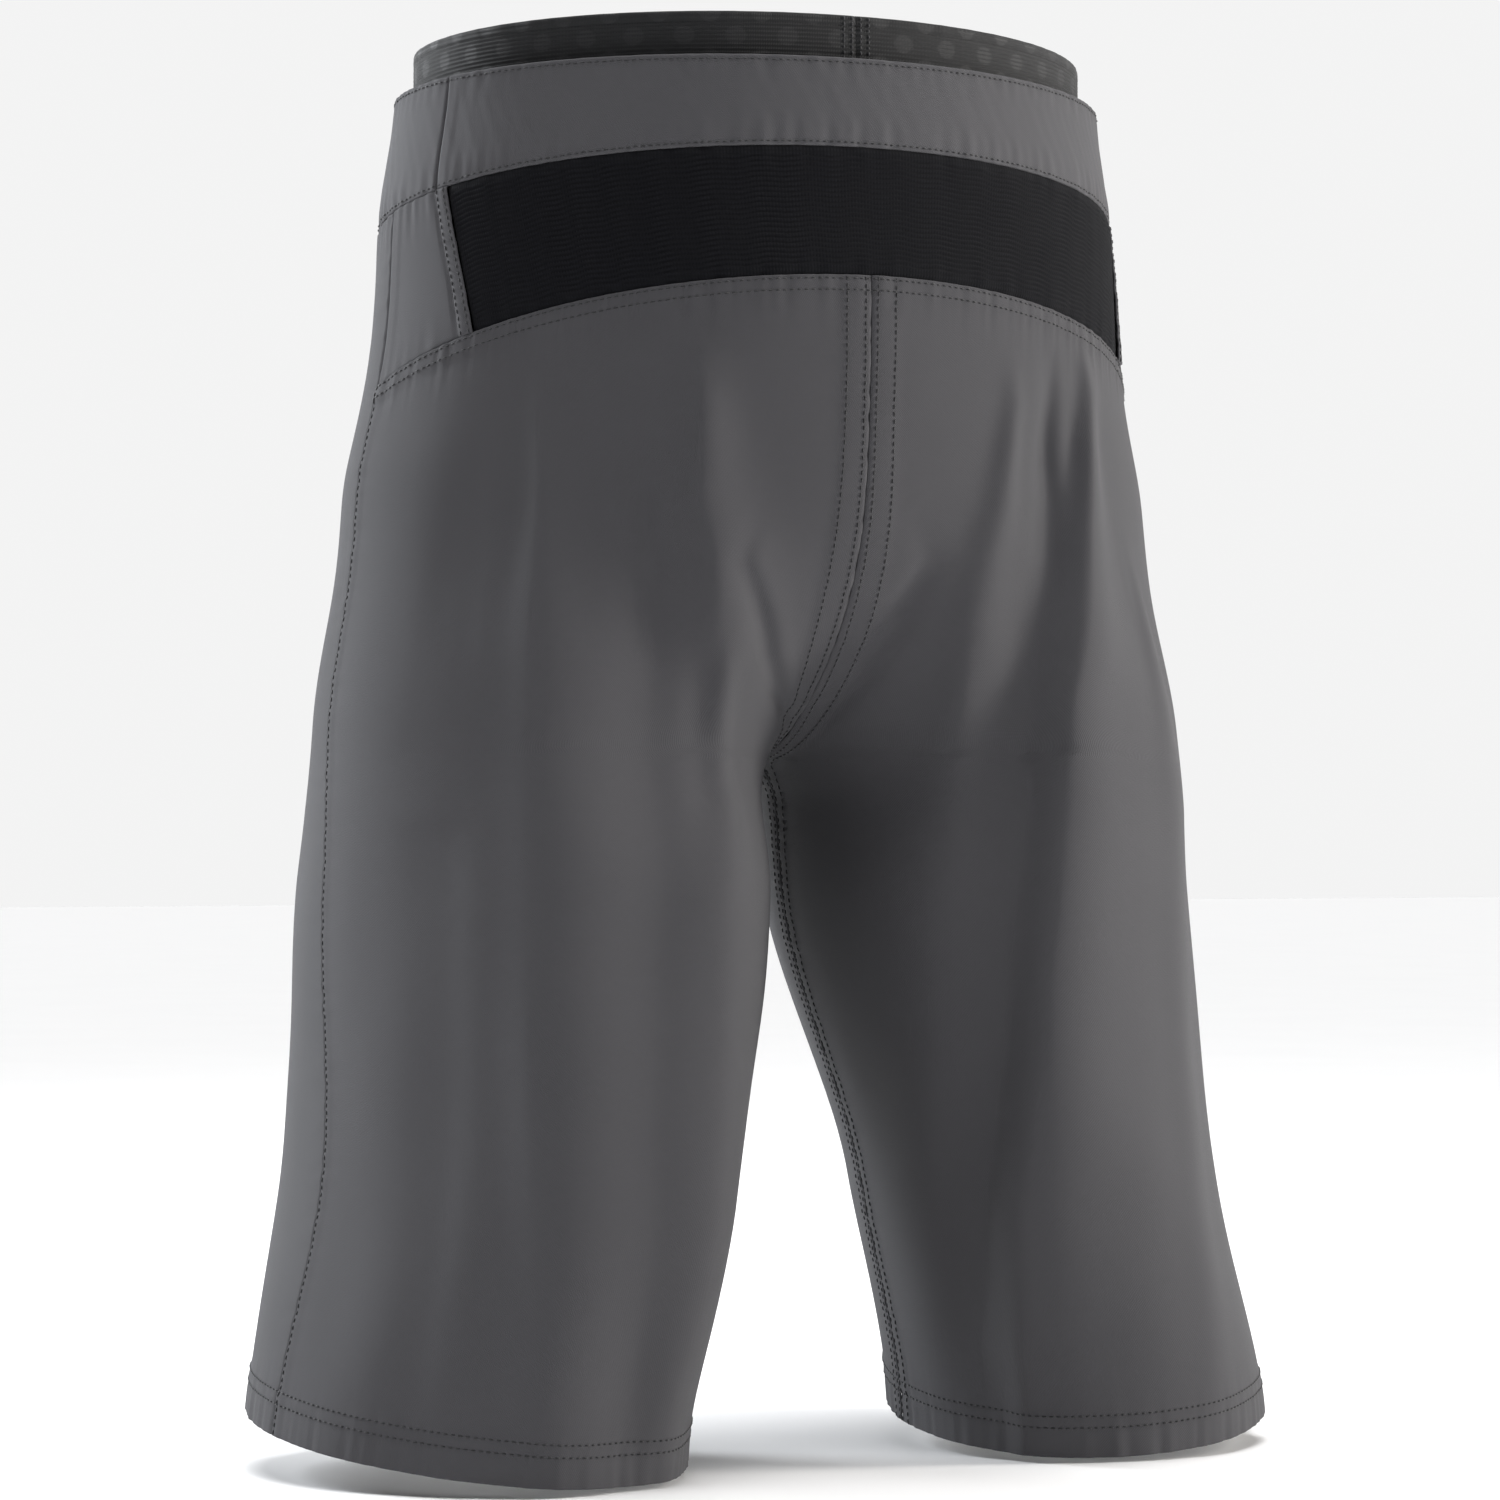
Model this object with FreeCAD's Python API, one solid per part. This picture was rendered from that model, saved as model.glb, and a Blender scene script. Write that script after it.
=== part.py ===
import FreeCAD, Part
import math
import os

# Padded impact shorts: a knee-length outer short worn over a padded liner, standing
# open as if worn. Millimetres. +Z up, the wearer faces -Y, the wearer's left is +X.
# The origin is the centre of the outer waist opening.
# Every horizontal slice of the garment is an ellipse at the torso that blends into
# two mirrored ellipses at the legs, so cloth, liner and pads share one form.

V = FreeCAD.Vector

# ---- driving dimensions ----------------------------------------------------------
# Torso slices: height -> half width, depth to the back, depth to the front.
TORSO = {0: (156, 111, 95), -45: (162, 113, 98), -100: (166, 117, 102),
         -170: (180, 113, 106), -260: (194, 106, 102), -300: (194, 106, 102)}
# Leg slices: height -> axis x, axis y, half width, half depth, yaw in degrees.
LEGS = {-120: (70, 5, 85, 105, 0), -260: (99, 5, 91, 99, 0), -330: (103, 8, 90, 110, 14),
        -450: (121, 25, 78, 108, 20), -560: (141, 30, 80, 96, 27)}
BLEND_TOP = -150.0          # above this height a slice is torso only
BLEND_END = -295.0          # below this height it is two legs only
WEB = 8.0                   # rounding where the two legs meet at the crotch
WEB_TOP = 60.0              # extra rounding at the top of the blend
WAIST_RISE = 0.074          # the waist plane climbs towards the back by this slope
RISE_FADE = 300.0           # and the climb fades out over this height

CLOTH = 1.2                 # outer shell cloth with its seam allowances
BAND_CLOTH = 2.4            # outer waistband, doubled over
SEAM_GAP = 0.15             # each panel stops this far short of its seam line

# Seam lines: height at the side, and slope against y.
WAIST_TOP = (0.0, 0.0)
BAND_BOTTOM = (-51.0, 0.14)
YOKE = (-124.0, 0.325)
HEM = (-544.0, -0.115)
HEM_SPLAY = 0.05            # the hem also drops towards the inseam
BAND_SEAM_ANGLE = 17.0      # waistband side seam, degrees behind the side
STRETCH_TOP_ANGLE = 20.0    # stretch panel's edge at the waistband
STRETCH_END_ANGLE = 28.0    # and at the yoke
SIDE_SEAM_ANGLE = 2.5       # side seam of the yoke

FLY_GAP = 5.5               # half the width between the fly's edges
FLY_TOP = -66.0             # zip chain, top and bottom, measured at the centre front
FLY_END = -160.0
FLY_TAPER = 12.0            # the fly's edges close to a seam over this height below it
TOOTH_PITCH = 3.0
TOOTH = (1.8, 2.0, 2.0)     # length along the chain, width, thickness
CHAIN_SLOT = 0.7            # half the gap between the two tooth rows
TAPE_WIDTH = 9.0
TAPE_THICK = 0.6
CHAIN_DEPTH = 3.2           # tape plane behind the cloth's outer face

SLIDER_LENGTH = 9.0
SLIDER_HALF_WIDTH = 3.9
PLATE = 1.0
PULL_LENGTH = 19.0
PULL_WIDTH = 5.0
PIN_R = 0.6
EYE_R = 1.4
EYE_HOLE_R = 0.95

TAB_ROOT_X = 15.0           # the waist tab folds open about this line
TAB_TIP_X = -36.0
TAB_LIFT = 2.2              # gap under the tab, filled by the snaps
TAB_THICK = 2.0
SNAP_X = (-11.0, -27.0)
STUD_R = 2.4
SOCKET_HOLE_R = 2.8
SOCKET_R = 5.4
CAP_R = 6.4
STEM_R = 1.2

LINER_CLOTH = 0.8
LINER_EASE_WAIST = 8.0      # liner stands this far inside the outer short
LINER_EASE_BODY = 15.0
LINER_BAND = (19.0, -29.0)  # elastic waistband, top and bottom
LINER_BAND_THICK = 1.8
LINER_HEM = -470.0
GRIPPER_HEIGHT = 28.0
PAD_THICK = 8.0
PAD_GAP = 0.3
# Impact pads of the left half: angles from the leg's axis, then heights.
PADS = (("hip_pad", (-20, 50), (-285, -130)),
        ("thigh_pad", (-30, 50), (-430, -298)),
        ("seat_pad", (58, 108), (-248, -160)))
TAILBONE_ANGLES = (72, 108)
TAILBONE_HEIGHTS = (-148, -78)
PAD_CORNER = 0.35            # how far a pad's corners are drawn in
CHAMOIS_HALF = 30.0
CHAMOIS_THICK = 7.0
CHAMOIS_GAP = 1.4           # clearance inside the liner's cloth
CHAMOIS_RISE = 70.0         # its line swings about a point this far over the crotch
CHAMOIS_SWING = (-72.0, 78.0)
CHAMOIS_DISH = 0.003        # its long edges turn back by this much per square millimetre

POCKET_ANGLES = (-66, -32)  # hand pocket bag, behind the front panel
POCKET_HEIGHTS = (-225, -80)
WELT_ANGLES = (-33, -29)    # sewn strip that edges the pocket's mouth
WELT_HEIGHTS = (-190, -85)

RAY_REACH = 320.0           # rays from a leg's axis are searched out to here
BISECTIONS = 28

os.makedirs("parts", exist_ok=True)


# ---- the garment's form ----------------------------------------------------------
def smooth(t):
    t = min(1.0, max(0.0, t))
    return t * t * (3 - 2 * t)


def mix(a, b, t):
    return a + (b - a) * t


class Profile:
    """Smooth curve through (height, value) keys that never overshoots them."""

    def __init__(self, keys):
        keys = sorted(keys)
        self.z = [k[0] for k in keys]
        self.v = [k[1] for k in keys]
        n = len(keys)
        step = [self.z[i + 1] - self.z[i] for i in range(n - 1)]
        rate = [(self.v[i + 1] - self.v[i]) / step[i] for i in range(n - 1)]
        self.slope = [0.0] * n
        for i in range(1, n - 1):
            if rate[i - 1] * rate[i] > 0:
                w1 = 2 * step[i] + step[i - 1]
                w2 = step[i] + 2 * step[i - 1]
                self.slope[i] = (w1 + w2) / (w1 / rate[i - 1] + w2 / rate[i])

    def at(self, z):
        if z <= self.z[0]:
            return self.v[0]
        if z >= self.z[-1]:
            return self.v[-1]
        i = max(k for k in range(len(self.z) - 1) if self.z[k] <= z)
        h = self.z[i + 1] - self.z[i]
        t = (z - self.z[i]) / h
        a = (1 + 2 * t) * (1 - t) ** 2 * self.v[i] + t * t * (3 - 2 * t) * self.v[i + 1]
        return a + h * (t * (1 - t) ** 2 * self.slope[i] - t * t * (1 - t) * self.slope[i + 1])


class Form:
    """The garment's shape, standing a given ease inside the outer short."""

    def __init__(self, ease_waist=0.0, ease_body=0.0):
        def ease(z):
            return mix(ease_waist, ease_body, smooth(-z / 100.0))
        self.torso = [Profile([(z, row[i] - ease(z)) for z, row in TORSO.items()])
                      for i in range(3)]
        self.legs = [Profile([(z, row[i] - (ease(z) if i in (2, 3) else 0)) for z, row in LEGS.items()])
                     for i in range(5)]
        self.cache = {}

    def slice(self, z):
        if z not in self.cache:
            self.cache[z] = [p.at(z) for p in self.torso] + [p.at(z) for p in self.legs]
        return self.cache[z]

    def inside(self, x, y, z):
        """Negative inside the garment's outer face."""
        half, back, front, cx, cy, al, bl, yaw = self.slice(z)
        depth = back if y > 0 else front
        trunk = (math.hypot(x / half, y / depth) - 1) * min(half, depth)
        if z >= BLEND_TOP:
            return trunk
        c = math.cos(math.radians(yaw))
        s = math.sin(math.radians(yaw))

        def leg(px):
            u = px - cx
            v = y - cy
            return (math.hypot((u * c + v * s) / al, (v * c - u * s) / bl) - 1) * min(al, bl)
        near = leg(x)
        far = leg(-x)
        k = WEB + WEB_TOP * smooth((z - BLEND_END) / (BLEND_TOP - BLEND_END))
        h = min(1.0, max(0.0, 0.5 + 0.5 * (far - near) / k))
        legs = mix(far, near, h) - k * h * (1 - h)
        w = smooth((BLEND_TOP - z) / (BLEND_TOP - BLEND_END))
        return mix(trunk, legs, w)

    def leg_point(self, angle, z):
        """Left half: angle from the leg's axis, 0 outer side, 90 back, -90 front."""
        cx, cy = self.slice(z)[3:5]
        c = math.cos(math.radians(angle))
        s = math.sin(math.radians(angle))
        low = 1.0
        high = min(RAY_REACH, cx / -c) if c < -1e-6 else RAY_REACH
        for _ in range(BISECTIONS):
            r = (low + high) / 2
            if self.inside(cx + r * c, cy + r * s, z) < 0:
                low = r
            else:
                high = r
        return cx + low * c, cy + low * s

    def torso_point(self, angle, z):
        """Whole torso: angle 0 at the left side, 90 at the centre back."""
        half, back, front = self.slice(z)[:3]
        s = math.sin(math.radians(angle))
        return half * math.cos(math.radians(angle)), (back if s > 0 else front) * s

    def centre_angle(self, z, side, gap):
        """Angle from the leg's axis to the centre seam (side 1 back, -1 front),
        which becomes the inseam below the crotch."""
        cx, cy = self.slice(z)[3:5]
        if self.inside(gap, cy, z) >= 0:
            return 180.0
        low = cy
        high = cy + side * RAY_REACH
        for _ in range(BISECTIONS):
            y = (low + high) / 2
            if self.inside(gap, y, z) < 0:
                low = y
            else:
                high = y
        return math.degrees(math.atan2(side * (low - cy), gap - cx))


def lift(x, y, z):
    """Tilt the waist: heights climb towards the back, fading out down the seat."""
    return V(x, y, z + WAIST_RISE * min(1.0, max(0.0, (z + RISE_FADE) / RISE_FADE)) * y)


def on_seam(point, seam, splay=0.0, axis_x=0.0):
    """Height where the seam plane z = z0 + slope*y crosses point(z)'s path."""
    z = seam[0]
    for _ in range(5):
        x, y = point(z)
        z = seam[0] + seam[1] * y + splay * (x - axis_x)
    return z


# ---- solids from grids -----------------------------------------------------------
def normals(grid):
    rows = len(grid)
    cols = len(grid[0])
    out = []
    for i in range(rows):
        line = []
        for j in range(cols):
            du = grid[min(i + 1, rows - 1)][j] - grid[max(i - 1, 0)][j]
            dv = grid[i][min(j + 1, cols - 1)] - grid[i][max(j - 1, 0)]
            line.append(dv.cross(du).normalize())
        out.append(line)
    return out


def smooth_surface(poles):
    """Surface controlled by a grid of points: cubic, or ruled across two rows."""
    counts = (len(poles), len(poles[0]))
    degrees = [3 if n > 3 else 1 for n in counts]
    spans = [n - d for n, d in zip(counts, degrees)]
    knots = [list(range(n + 1)) for n in spans]
    mults = [[d + 1] + [1] * (n - 1) + [d + 1] for n, d in zip(spans, degrees)]
    surface = Part.BSplineSurface()
    surface.buildFromPolesMultsKnots(poles, mults[0], mults[1], knots[0], knots[1],
                                     False, False, degrees[0], degrees[1])
    return surface.toShape()


def closed_solid(outer, inner):
    """Solid between two grids of points with matching rows and columns."""
    faces = [smooth_surface(outer), smooth_surface(inner)]
    for grids in ((outer, inner), ([list(c) for c in zip(*outer)], [list(c) for c in zip(*inner)])):
        for edge in (0, -1):
            faces.append(smooth_surface([grids[0][edge], grids[1][edge]]))
    skin = Part.makeCompound(faces)
    skin.sewShape(0.01)
    solid = Part.Solid(skin if skin.ShapeType == "Shell" else skin.Shells[0])
    if solid.Volume < 0:
        solid.reverse()
    return solid


def shell_solid(grid, low, high):
    """Closed solid between two offsets of a grid of points, along its normals."""
    side = normals(grid)
    outer, inner = [[[p + n * offset for p, n in zip(a, b)] for a, b in zip(grid, side)]
                    for offset in (high, low)]
    return closed_solid(outer, inner)


def mirrored(shape):
    return shape.mirror(V(0, 0, 0), V(1, 0, 0))


def save(node, shapes):
    shape = shapes[0] if len(shapes) == 1 else Part.makeCompound(shapes)
    solids = shape.Solids
    ok = all(s.isValid() and s.Volume > 0 for s in solids)
    box = shape.BoundBox
    print(f"{node:24s} solids {len(solids):3d} volume {shape.Volume:10.1f} valid {ok}"
          f" z {box.ZMin:7.1f} {box.ZMax:7.1f}")
    shape.exportStep(f"parts/{node}.step")


def save_pair(stem, shape):
    save(stem + "_left", [shape])
    save(stem + "_right", [mirrored(shape)])


# ---- panels ----------------------------------------------------------------------
def steps(count):
    return [i / (count - 1) for i in range(count)]


def torso_panel(form, top, bottom, start, end, rows, cols, low, high):
    """Panel of the torso between two seam lines; start and end are angles as a
    function of the fraction of the way up the panel."""
    grid = []
    for t in steps(rows):
        line = []
        for s in steps(cols):
            angle = mix(start(t), end(t), s)

            def path(z):
                return form.torso_point(angle, z)
            z = mix(on_seam(path, bottom) + SEAM_GAP, on_seam(path, top) - SEAM_GAP, t)
            line.append(lift(*path(z), z))
        grid.append(line)
    return shell_solid(grid, low, high)


def crotch_height(form):
    """Height where the centre seams of the back and front meet the inseams."""
    low = BLEND_END - 60.0
    high = BLEND_TOP
    for _ in range(24):
        z = (low + high) / 2
        if form.centre_angle(z, 1, SEAM_GAP) < 180.0:
            high = z
        else:
            low = z
    return high


def leg_rows(fraction, below, above):
    """Fractions up a leg panel, closer together towards the crotch."""
    return ([fraction * (1 - (1 - i / below) ** 1.4) for i in range(below)]
            + [fraction + (1 - fraction) * (i / above) ** 1.4 for i in range(above + 1)])


def leg_panel(form, side, top, bottom, splay, gap, low, high, below=12, above=16, cols=19):
    """Left leg panel from the side seam to the centre seam and inseam.
    side is 1 for the back panel and -1 for the front one."""
    grid = []
    crotch = crotch_height(form)
    fraction = (crotch - bottom[0]) / (top[0] - bottom[0] + side * top[1] * form.slice(top[0])[1])
    for t in leg_rows(fraction, below, above):
        line = []
        for s in steps(cols):
            def path(z):
                cx = form.slice(z)[3]
                seam_inset = math.degrees(SEAM_GAP / cx)
                end = form.centre_angle(z, side, gap(z))
                if end == 180.0:
                    end -= seam_inset
                return form.leg_point(side * mix(seam_inset, end, s if side > 0 else 1 - s), z)

            axis_x = form.slice(bottom[0])[3]
            z_low = on_seam(path, bottom, splay, axis_x) + SEAM_GAP
            z_high = on_seam(path, top) - SEAM_GAP
            z = mix(z_low, z_high, t)
            line.append(lift(*path(z), z))
        grid.append(line)
    return shell_solid(grid, low, high)


def centre_seam(z):
    return SEAM_GAP


def fly_edge(z):
    """Half the gap at the centre front: open at the fly, a closed seam below it."""
    return mix(SEAM_GAP, FLY_GAP, smooth((z - FLY_END + FLY_TAPER) / FLY_TAPER))


def patch(point, angles, heights, low, high, cols=13, corner=PAD_CORNER):
    """Rounded pad between two angles and two heights of point(angle, z). Its corners
    are drawn in by the corner fraction."""
    grid = []
    for t in steps(13):
        line = []
        for s in steps(cols):
            a = 2 * s - 1
            b = 2 * t - 1
            angle = mix(*angles, (1 + a * math.sqrt(1 - corner * b * b)) / 2)
            z = mix(*heights, (1 + b * math.sqrt(1 - corner * a * a)) / 2)
            line.append(lift(*point(angle, z), z))
        grid.append(line)
    return shell_solid(grid, low, high)


# ---- small hardware ---------------------------------------------------------------
def frame_at(origin, outward, up):
    """Placement with local z outward, local y up and local x across."""
    z = V(outward).normalize()
    x = V(up).cross(z).normalize()
    y = z.cross(x)
    return FreeCAD.Matrix(x.x, y.x, z.x, origin.x, x.y, y.y, z.y, origin.y,
                          x.z, y.z, z.z, origin.z, 0, 0, 0, 1)


def put(shape, matrix):
    placed = shape.copy()
    placed.transformShape(matrix, True)
    return placed


def block(x0, x1, y0, y1, z0, z1):
    return Part.makeBox(x1 - x0, y1 - y0, z1 - z0, V(x0, y0, z0))


def rod(radius, z0, z1, x=0.0, y=0.0):
    return Part.makeCylinder(radius, z1 - z0, V(x, y, z0))


def cross_rod(radius, half, y, z):
    return Part.makeCylinder(radius, 2 * half, V(-half, y, z), V(1, 0, 0))


def front_point(form, x, z):
    """Point on the front of the torso at x, before the waist is tilted."""
    return form.torso_point(-math.degrees(math.acos(x / form.slice(z)[0])), z)


def zip_frame(form):
    """Frame of the fly's chain: origin in the tape plane at the top of the chain."""
    top = lift(*front_point(form, 0, FLY_TOP), FLY_TOP)
    end = lift(*front_point(form, 0, FLY_END), FLY_END)
    up = top - end
    outward = V(1, 0, 0).cross(up)
    origin = top - V(outward).normalize() * CHAIN_DEPTH
    return frame_at(origin, outward, up), up.Length


def zip_fly(form):
    matrix, length = zip_frame(form)
    long, wide, thick = TOOTH
    outer = CHAIN_SLOT + wide
    tooth = block(CHAIN_SLOT, outer, -long / 2, long / 2, -thick / 2, thick / 2)
    tooth = tooth.makeChamfer(0.35, [e for e in tooth.Edges if abs(e.CenterOfMass.z) > 0.9])
    count = int((length - 12.0) / TOOTH_PITCH)
    for name, flip, shift in (("left", 1, 0.0), ("right", -1, TOOTH_PITCH / 2)):
        row = []
        for k in range(count):
            copy = tooth.copy() if flip > 0 else mirrored(tooth)
            copy.translate(V(0, -4.0 - shift - k * TOOTH_PITCH, 0))
            row.append(put(copy, matrix))
        save("fly_teeth_" + name, row)
        tape = block(outer, outer + TAPE_WIDTH, -length - 2, -0.6, -TAPE_THICK / 2, TAPE_THICK / 2)
        save("fly_tape_" + name, [put(tape if flip > 0 else mirrored(tape), matrix)])
    stop = block(CHAIN_SLOT, outer, -1.7, -0.6, -thick / 2, thick / 2)
    end_stop = block(-outer, outer, -length + 2.0, -length + 5.0, -thick / 2, thick / 2)
    save("fly_stops", [put(s, matrix) for s in (stop, mirrored(stop), end_stop)])
    guard = block(-22, 22, -length - 6, -2, -5.0, -4.0)
    save("fly_guard", [put(guard, matrix)])

    # The slider: two plates joined by a post that runs in the gap between the rows.
    top = -2.4
    low = top - SLIDER_LENGTH
    mid = (top + low) / 2
    face = thick / 2 + 0.3
    lip = TAPE_THICK / 2 + 0.3
    body = block(-0.4, 0.4, top - 3.0, top, -face, face)
    for sign in (1, -1):
        z0, z1 = sorted((sign * face, sign * (face + PLATE)))
        plate = block(-SLIDER_HALF_WIDTH, SLIDER_HALF_WIDTH, low, top, z0, z1)
        plate = plate.makeFillet(1.4, [e for e in plate.Edges
                                       if abs(e.tangentAt(e.FirstParameter).z) > 0.9])
        body = body.fuse(plate)
        for edge in (1, -1):
            x0, x1 = sorted((edge * (SLIDER_HALF_WIDTH - 0.8), edge * SLIDER_HALF_WIDTH))
            z0, z1 = sorted((sign * lip, sign * face))
            body = body.fuse(block(x0, x1, low + 1.5, top - 1.5, z0, z1))
    pin_z = face + PLATE + EYE_R + 0.35
    for edge in (1, -1):
        x0, x1 = sorted((edge * 1.3, edge * 2.1))
        cheek = block(x0, x1, mid - 1.7, mid + 1.7, face + PLATE - 0.2, pin_z + 1.0)
        body = body.fuse(cheek)
    body = body.fuse(cross_rod(PIN_R, 1.4, mid, pin_z)).removeSplitter()
    save("fly_slider", [put(body, matrix)])

    pull = cross_rod(EYE_R, 1.0, mid, pin_z)
    pull = pull.fuse(block(-1.0, 1.0, mid - 5.5, mid, pin_z - 0.5, pin_z + 0.5))
    half = PULL_WIDTH / 2
    leaf = block(-half, half, mid - PULL_LENGTH, mid - 4.0, pin_z - 0.5, pin_z + 0.5)
    leaf = leaf.makeFillet(1.6, [e for e in leaf.Edges if abs(e.tangentAt(e.FirstParameter).z) > 0.9])
    pull = pull.fuse(leaf)
    pull = pull.cut(cross_rod(EYE_HOLE_R, 1.2, mid, pin_z))
    pull = pull.cut(rod(1.0, pin_z - 1, pin_z + 1, 0, mid - PULL_LENGTH + 3.0)).removeSplitter()
    save("fly_pull", [put(pull, matrix)])
    down = matrix.multVec(V(0, -1, 0)) - matrix.multVec(V(0, 0, 0))
    travel = low - (-length + 5.0) - 0.6
    print("fly pull pin", matrix.multVec(V(0, mid, pin_z)), "chain direction", down, "travel", travel)


def band_grid(form, x0, x1, cols):
    """Points on the front of the waistband between two x, low to high."""
    grid = []
    for t in steps(5):
        line = []
        for s in steps(cols):
            x = mix(x0, x1, s)

            def path(z):
                return front_point(form, x, z)
            z = mix(on_seam(path, BAND_BOTTOM) + 1.0, on_seam(path, WAIST_TOP) - 1.0, t)
            line.append(lift(*path(z), z))
        grid.append(line)
    return grid


def snap_frames(form):
    frames = []
    for x in SNAP_X:
        patch_grid = band_grid(form, x - 2, x + 2, 3)
        origin = patch_grid[2][1]
        up = patch_grid[4][1] - patch_grid[0][1]
        across = patch_grid[2][2] - patch_grid[2][0]
        frames.append(frame_at(origin, across.cross(up), up))
    return frames


def waist_tab(form, frames):
    back = TAB_LIFT
    front = TAB_LIFT + TAB_THICK
    tab = shell_solid(band_grid(form, TAB_TIP_X, TAB_ROOT_X, 9), back, front)
    base = shell_solid(band_grid(form, TAB_ROOT_X + 0.3, TAB_ROOT_X + 13, 5), 0.1, front)
    studs = []
    posts = []
    sockets = []
    caps = []
    for matrix in frames:
        stem = rod(STEM_R, -BAND_CLOTH - 1.1, 0.1)
        stud = rod(4.4, 0.1, 0.4).fuse(rod(STUD_R, 0.4, 1.55)).fuse(stem).removeSplitter()
        post = rod(5.0, -BAND_CLOTH - 1.1, -BAND_CLOTH - 0.3).cut(rod(STEM_R, -5, 1))
        socket = rod(SOCKET_R, 0.7, back - 0.2).cut(rod(SOCKET_HOLE_R, 0, back - 0.45))
        dome = rod(CAP_R, front + 0.1, front + 1.3)
        dome = dome.makeFillet(0.8, [e for e in dome.Edges if e.CenterOfMass.z > front + 1.2])
        cap = dome.fuse(rod(STEM_R, back - 0.2, front + 0.1)).removeSplitter()
        tab = tab.cut(put(rod(STEM_R, 0, 8), matrix))
        studs.append(put(stud, matrix))
        posts.append(put(post, matrix))
        sockets.append(put(socket, matrix))
        caps.append(put(cap, matrix))
    save("waist_tab", [tab])
    save("waist_tab_base", [base])
    save("snap_studs", studs)
    save("snap_posts", posts)
    save("snap_sockets", sockets)
    save("snap_caps", caps)
    hinge = band_grid(form, TAB_ROOT_X - 1, TAB_ROOT_X, 2)
    up = hinge[4][1] - hinge[0][1]
    outward = (hinge[0][1] - hinge[0][0]).cross(up).normalize()
    print("tab hinge", hinge[0][1] + outward * front, "axis", up.normalize())


# ---- the outer short ---------------------------------------------------------------
def outer_short(form):
    frames = snap_frames(form)
    save("waistband_back", [torso_panel(
        form, WAIST_TOP, BAND_BOTTOM, lambda t: BAND_SEAM_ANGLE, lambda t: 180 - BAND_SEAM_ANGLE,
        5, 25, -BAND_CLOTH, 0)])
    inset = math.degrees(SEAM_GAP * 4 / TORSO[0][0])
    fly_angle = math.degrees(math.acos(FLY_GAP / TORSO[0][0]))
    band = torso_panel(form, WAIST_TOP, BAND_BOTTOM, lambda t: -fly_angle,
                       lambda t: BAND_SEAM_ANGLE - inset, 5, 21, -BAND_CLOTH, 0)
    save("waistband_front_left", [band])
    band = mirrored(band)
    for matrix in frames:
        band = band.cut(put(rod(STEM_R, -8, 4), matrix))
    save("waistband_front_right", [band])

    def stretch_edge(t):
        return mix(STRETCH_END_ANGLE, STRETCH_TOP_ANGLE, t)
    save("back_stretch_panel", [torso_panel(
        form, BAND_BOTTOM, YOKE, stretch_edge, lambda t: 180 - stretch_edge(t),
        7, 25, -CLOTH, 0)])
    save_pair("side_yoke", torso_panel(
        form, BAND_BOTTOM, YOKE, lambda t: SIDE_SEAM_ANGLE, lambda t: stretch_edge(t) - inset,
        9, 9, -CLOTH, 0))
    save_pair("back_panel", leg_panel(form, 1, YOKE, HEM, HEM_SPLAY, centre_seam, -CLOTH, 0))
    save_pair("front_panel", leg_panel(form, -1, BAND_BOTTOM, HEM, HEM_SPLAY, fly_edge, -CLOTH, 0))
    save_pair("pocket_bag", patch(form.leg_point, POCKET_ANGLES, POCKET_HEIGHTS, -3.6, -2.0))
    save_pair("pocket_welt", patch(form.leg_point, WELT_ANGLES, WELT_HEIGHTS, 0.15, 1.0, 5, 0.1))
    zip_fly(form)
    waist_tab(form, frames)


# ---- the padded liner ---------------------------------------------------------------
def chamois(form):
    """Crotch pad inside the liner, following its centre line from front to back."""
    centre_z = crotch_height(form) + CHAMOIS_RISE
    centre_y = form.slice(centre_z)[4]
    outer = []
    inner = []
    for t in steps(21):
        swing = math.radians(mix(*CHAMOIS_SWING, t))
        dy = math.sin(swing)
        dz = -math.cos(swing)
        low = 1.0
        high = RAY_REACH
        for _ in range(BISECTIONS):
            r = (low + high) / 2
            if form.inside(0.0, centre_y + r * dy, centre_z + r * dz) < 0:
                low = r
            else:
                high = r
        half = CHAMOIS_HALF * (0.75 + 0.25 * math.cos(2 * (swing - 0.2)))
        rows = []
        depth = LINER_CLOTH + CHAMOIS_GAP
        for gap in (depth, depth + CHAMOIS_THICK):
            y = centre_y + (low - gap) * dy
            z = centre_z + (low - gap) * dz
            rows.append([lift(x, y + CHAMOIS_DISH * x * x, z) for x in (-half, -half / 3, half / 3, half)])
        outer.append(rows[0])
        inner.append(rows[1])
    return closed_solid(outer, inner)


def liner():
    form = Form(LINER_EASE_WAIST, LINER_EASE_BODY)
    band_top = (LINER_BAND[0], 0.0)
    band_low = (LINER_BAND[1], 0.0)
    hem = (LINER_HEM, 0.0)
    inset = math.degrees(SEAM_GAP / TORSO[0][0])
    save("liner_waistband", [torso_panel(
        form, band_top, band_low, lambda t: 90 + inset, lambda t: 450 - inset,
        5, 61, -LINER_BAND_THICK, 0)])
    save_pair("liner_back", leg_panel(form, 1, band_low, hem, 0, centre_seam, -LINER_CLOTH, 0))
    save_pair("liner_front", leg_panel(form, -1, band_low, hem, 0, centre_seam, -LINER_CLOTH, 0))
    grid = []
    for t in steps(5):
        z = LINER_HEM - 0.3 - GRIPPER_HEIGHT * (1 - t)
        grid.append([lift(*form.leg_point(mix(-179.9, 179.9, s), z), z) for s in steps(41)])
    save_pair("liner_gripper", shell_solid(grid, -LINER_CLOTH - 0.4, 0))
    outer_face = PAD_GAP + PAD_THICK
    for name, angles, heights in PADS:
        save_pair(name, patch(form.leg_point, angles, heights, PAD_GAP, outer_face))
    save("tailbone_pad", [patch(form.torso_point, TAILBONE_ANGLES, TAILBONE_HEIGHTS,
                                PAD_GAP, outer_face)])
    save("chamois", [chamois(form)])


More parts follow.
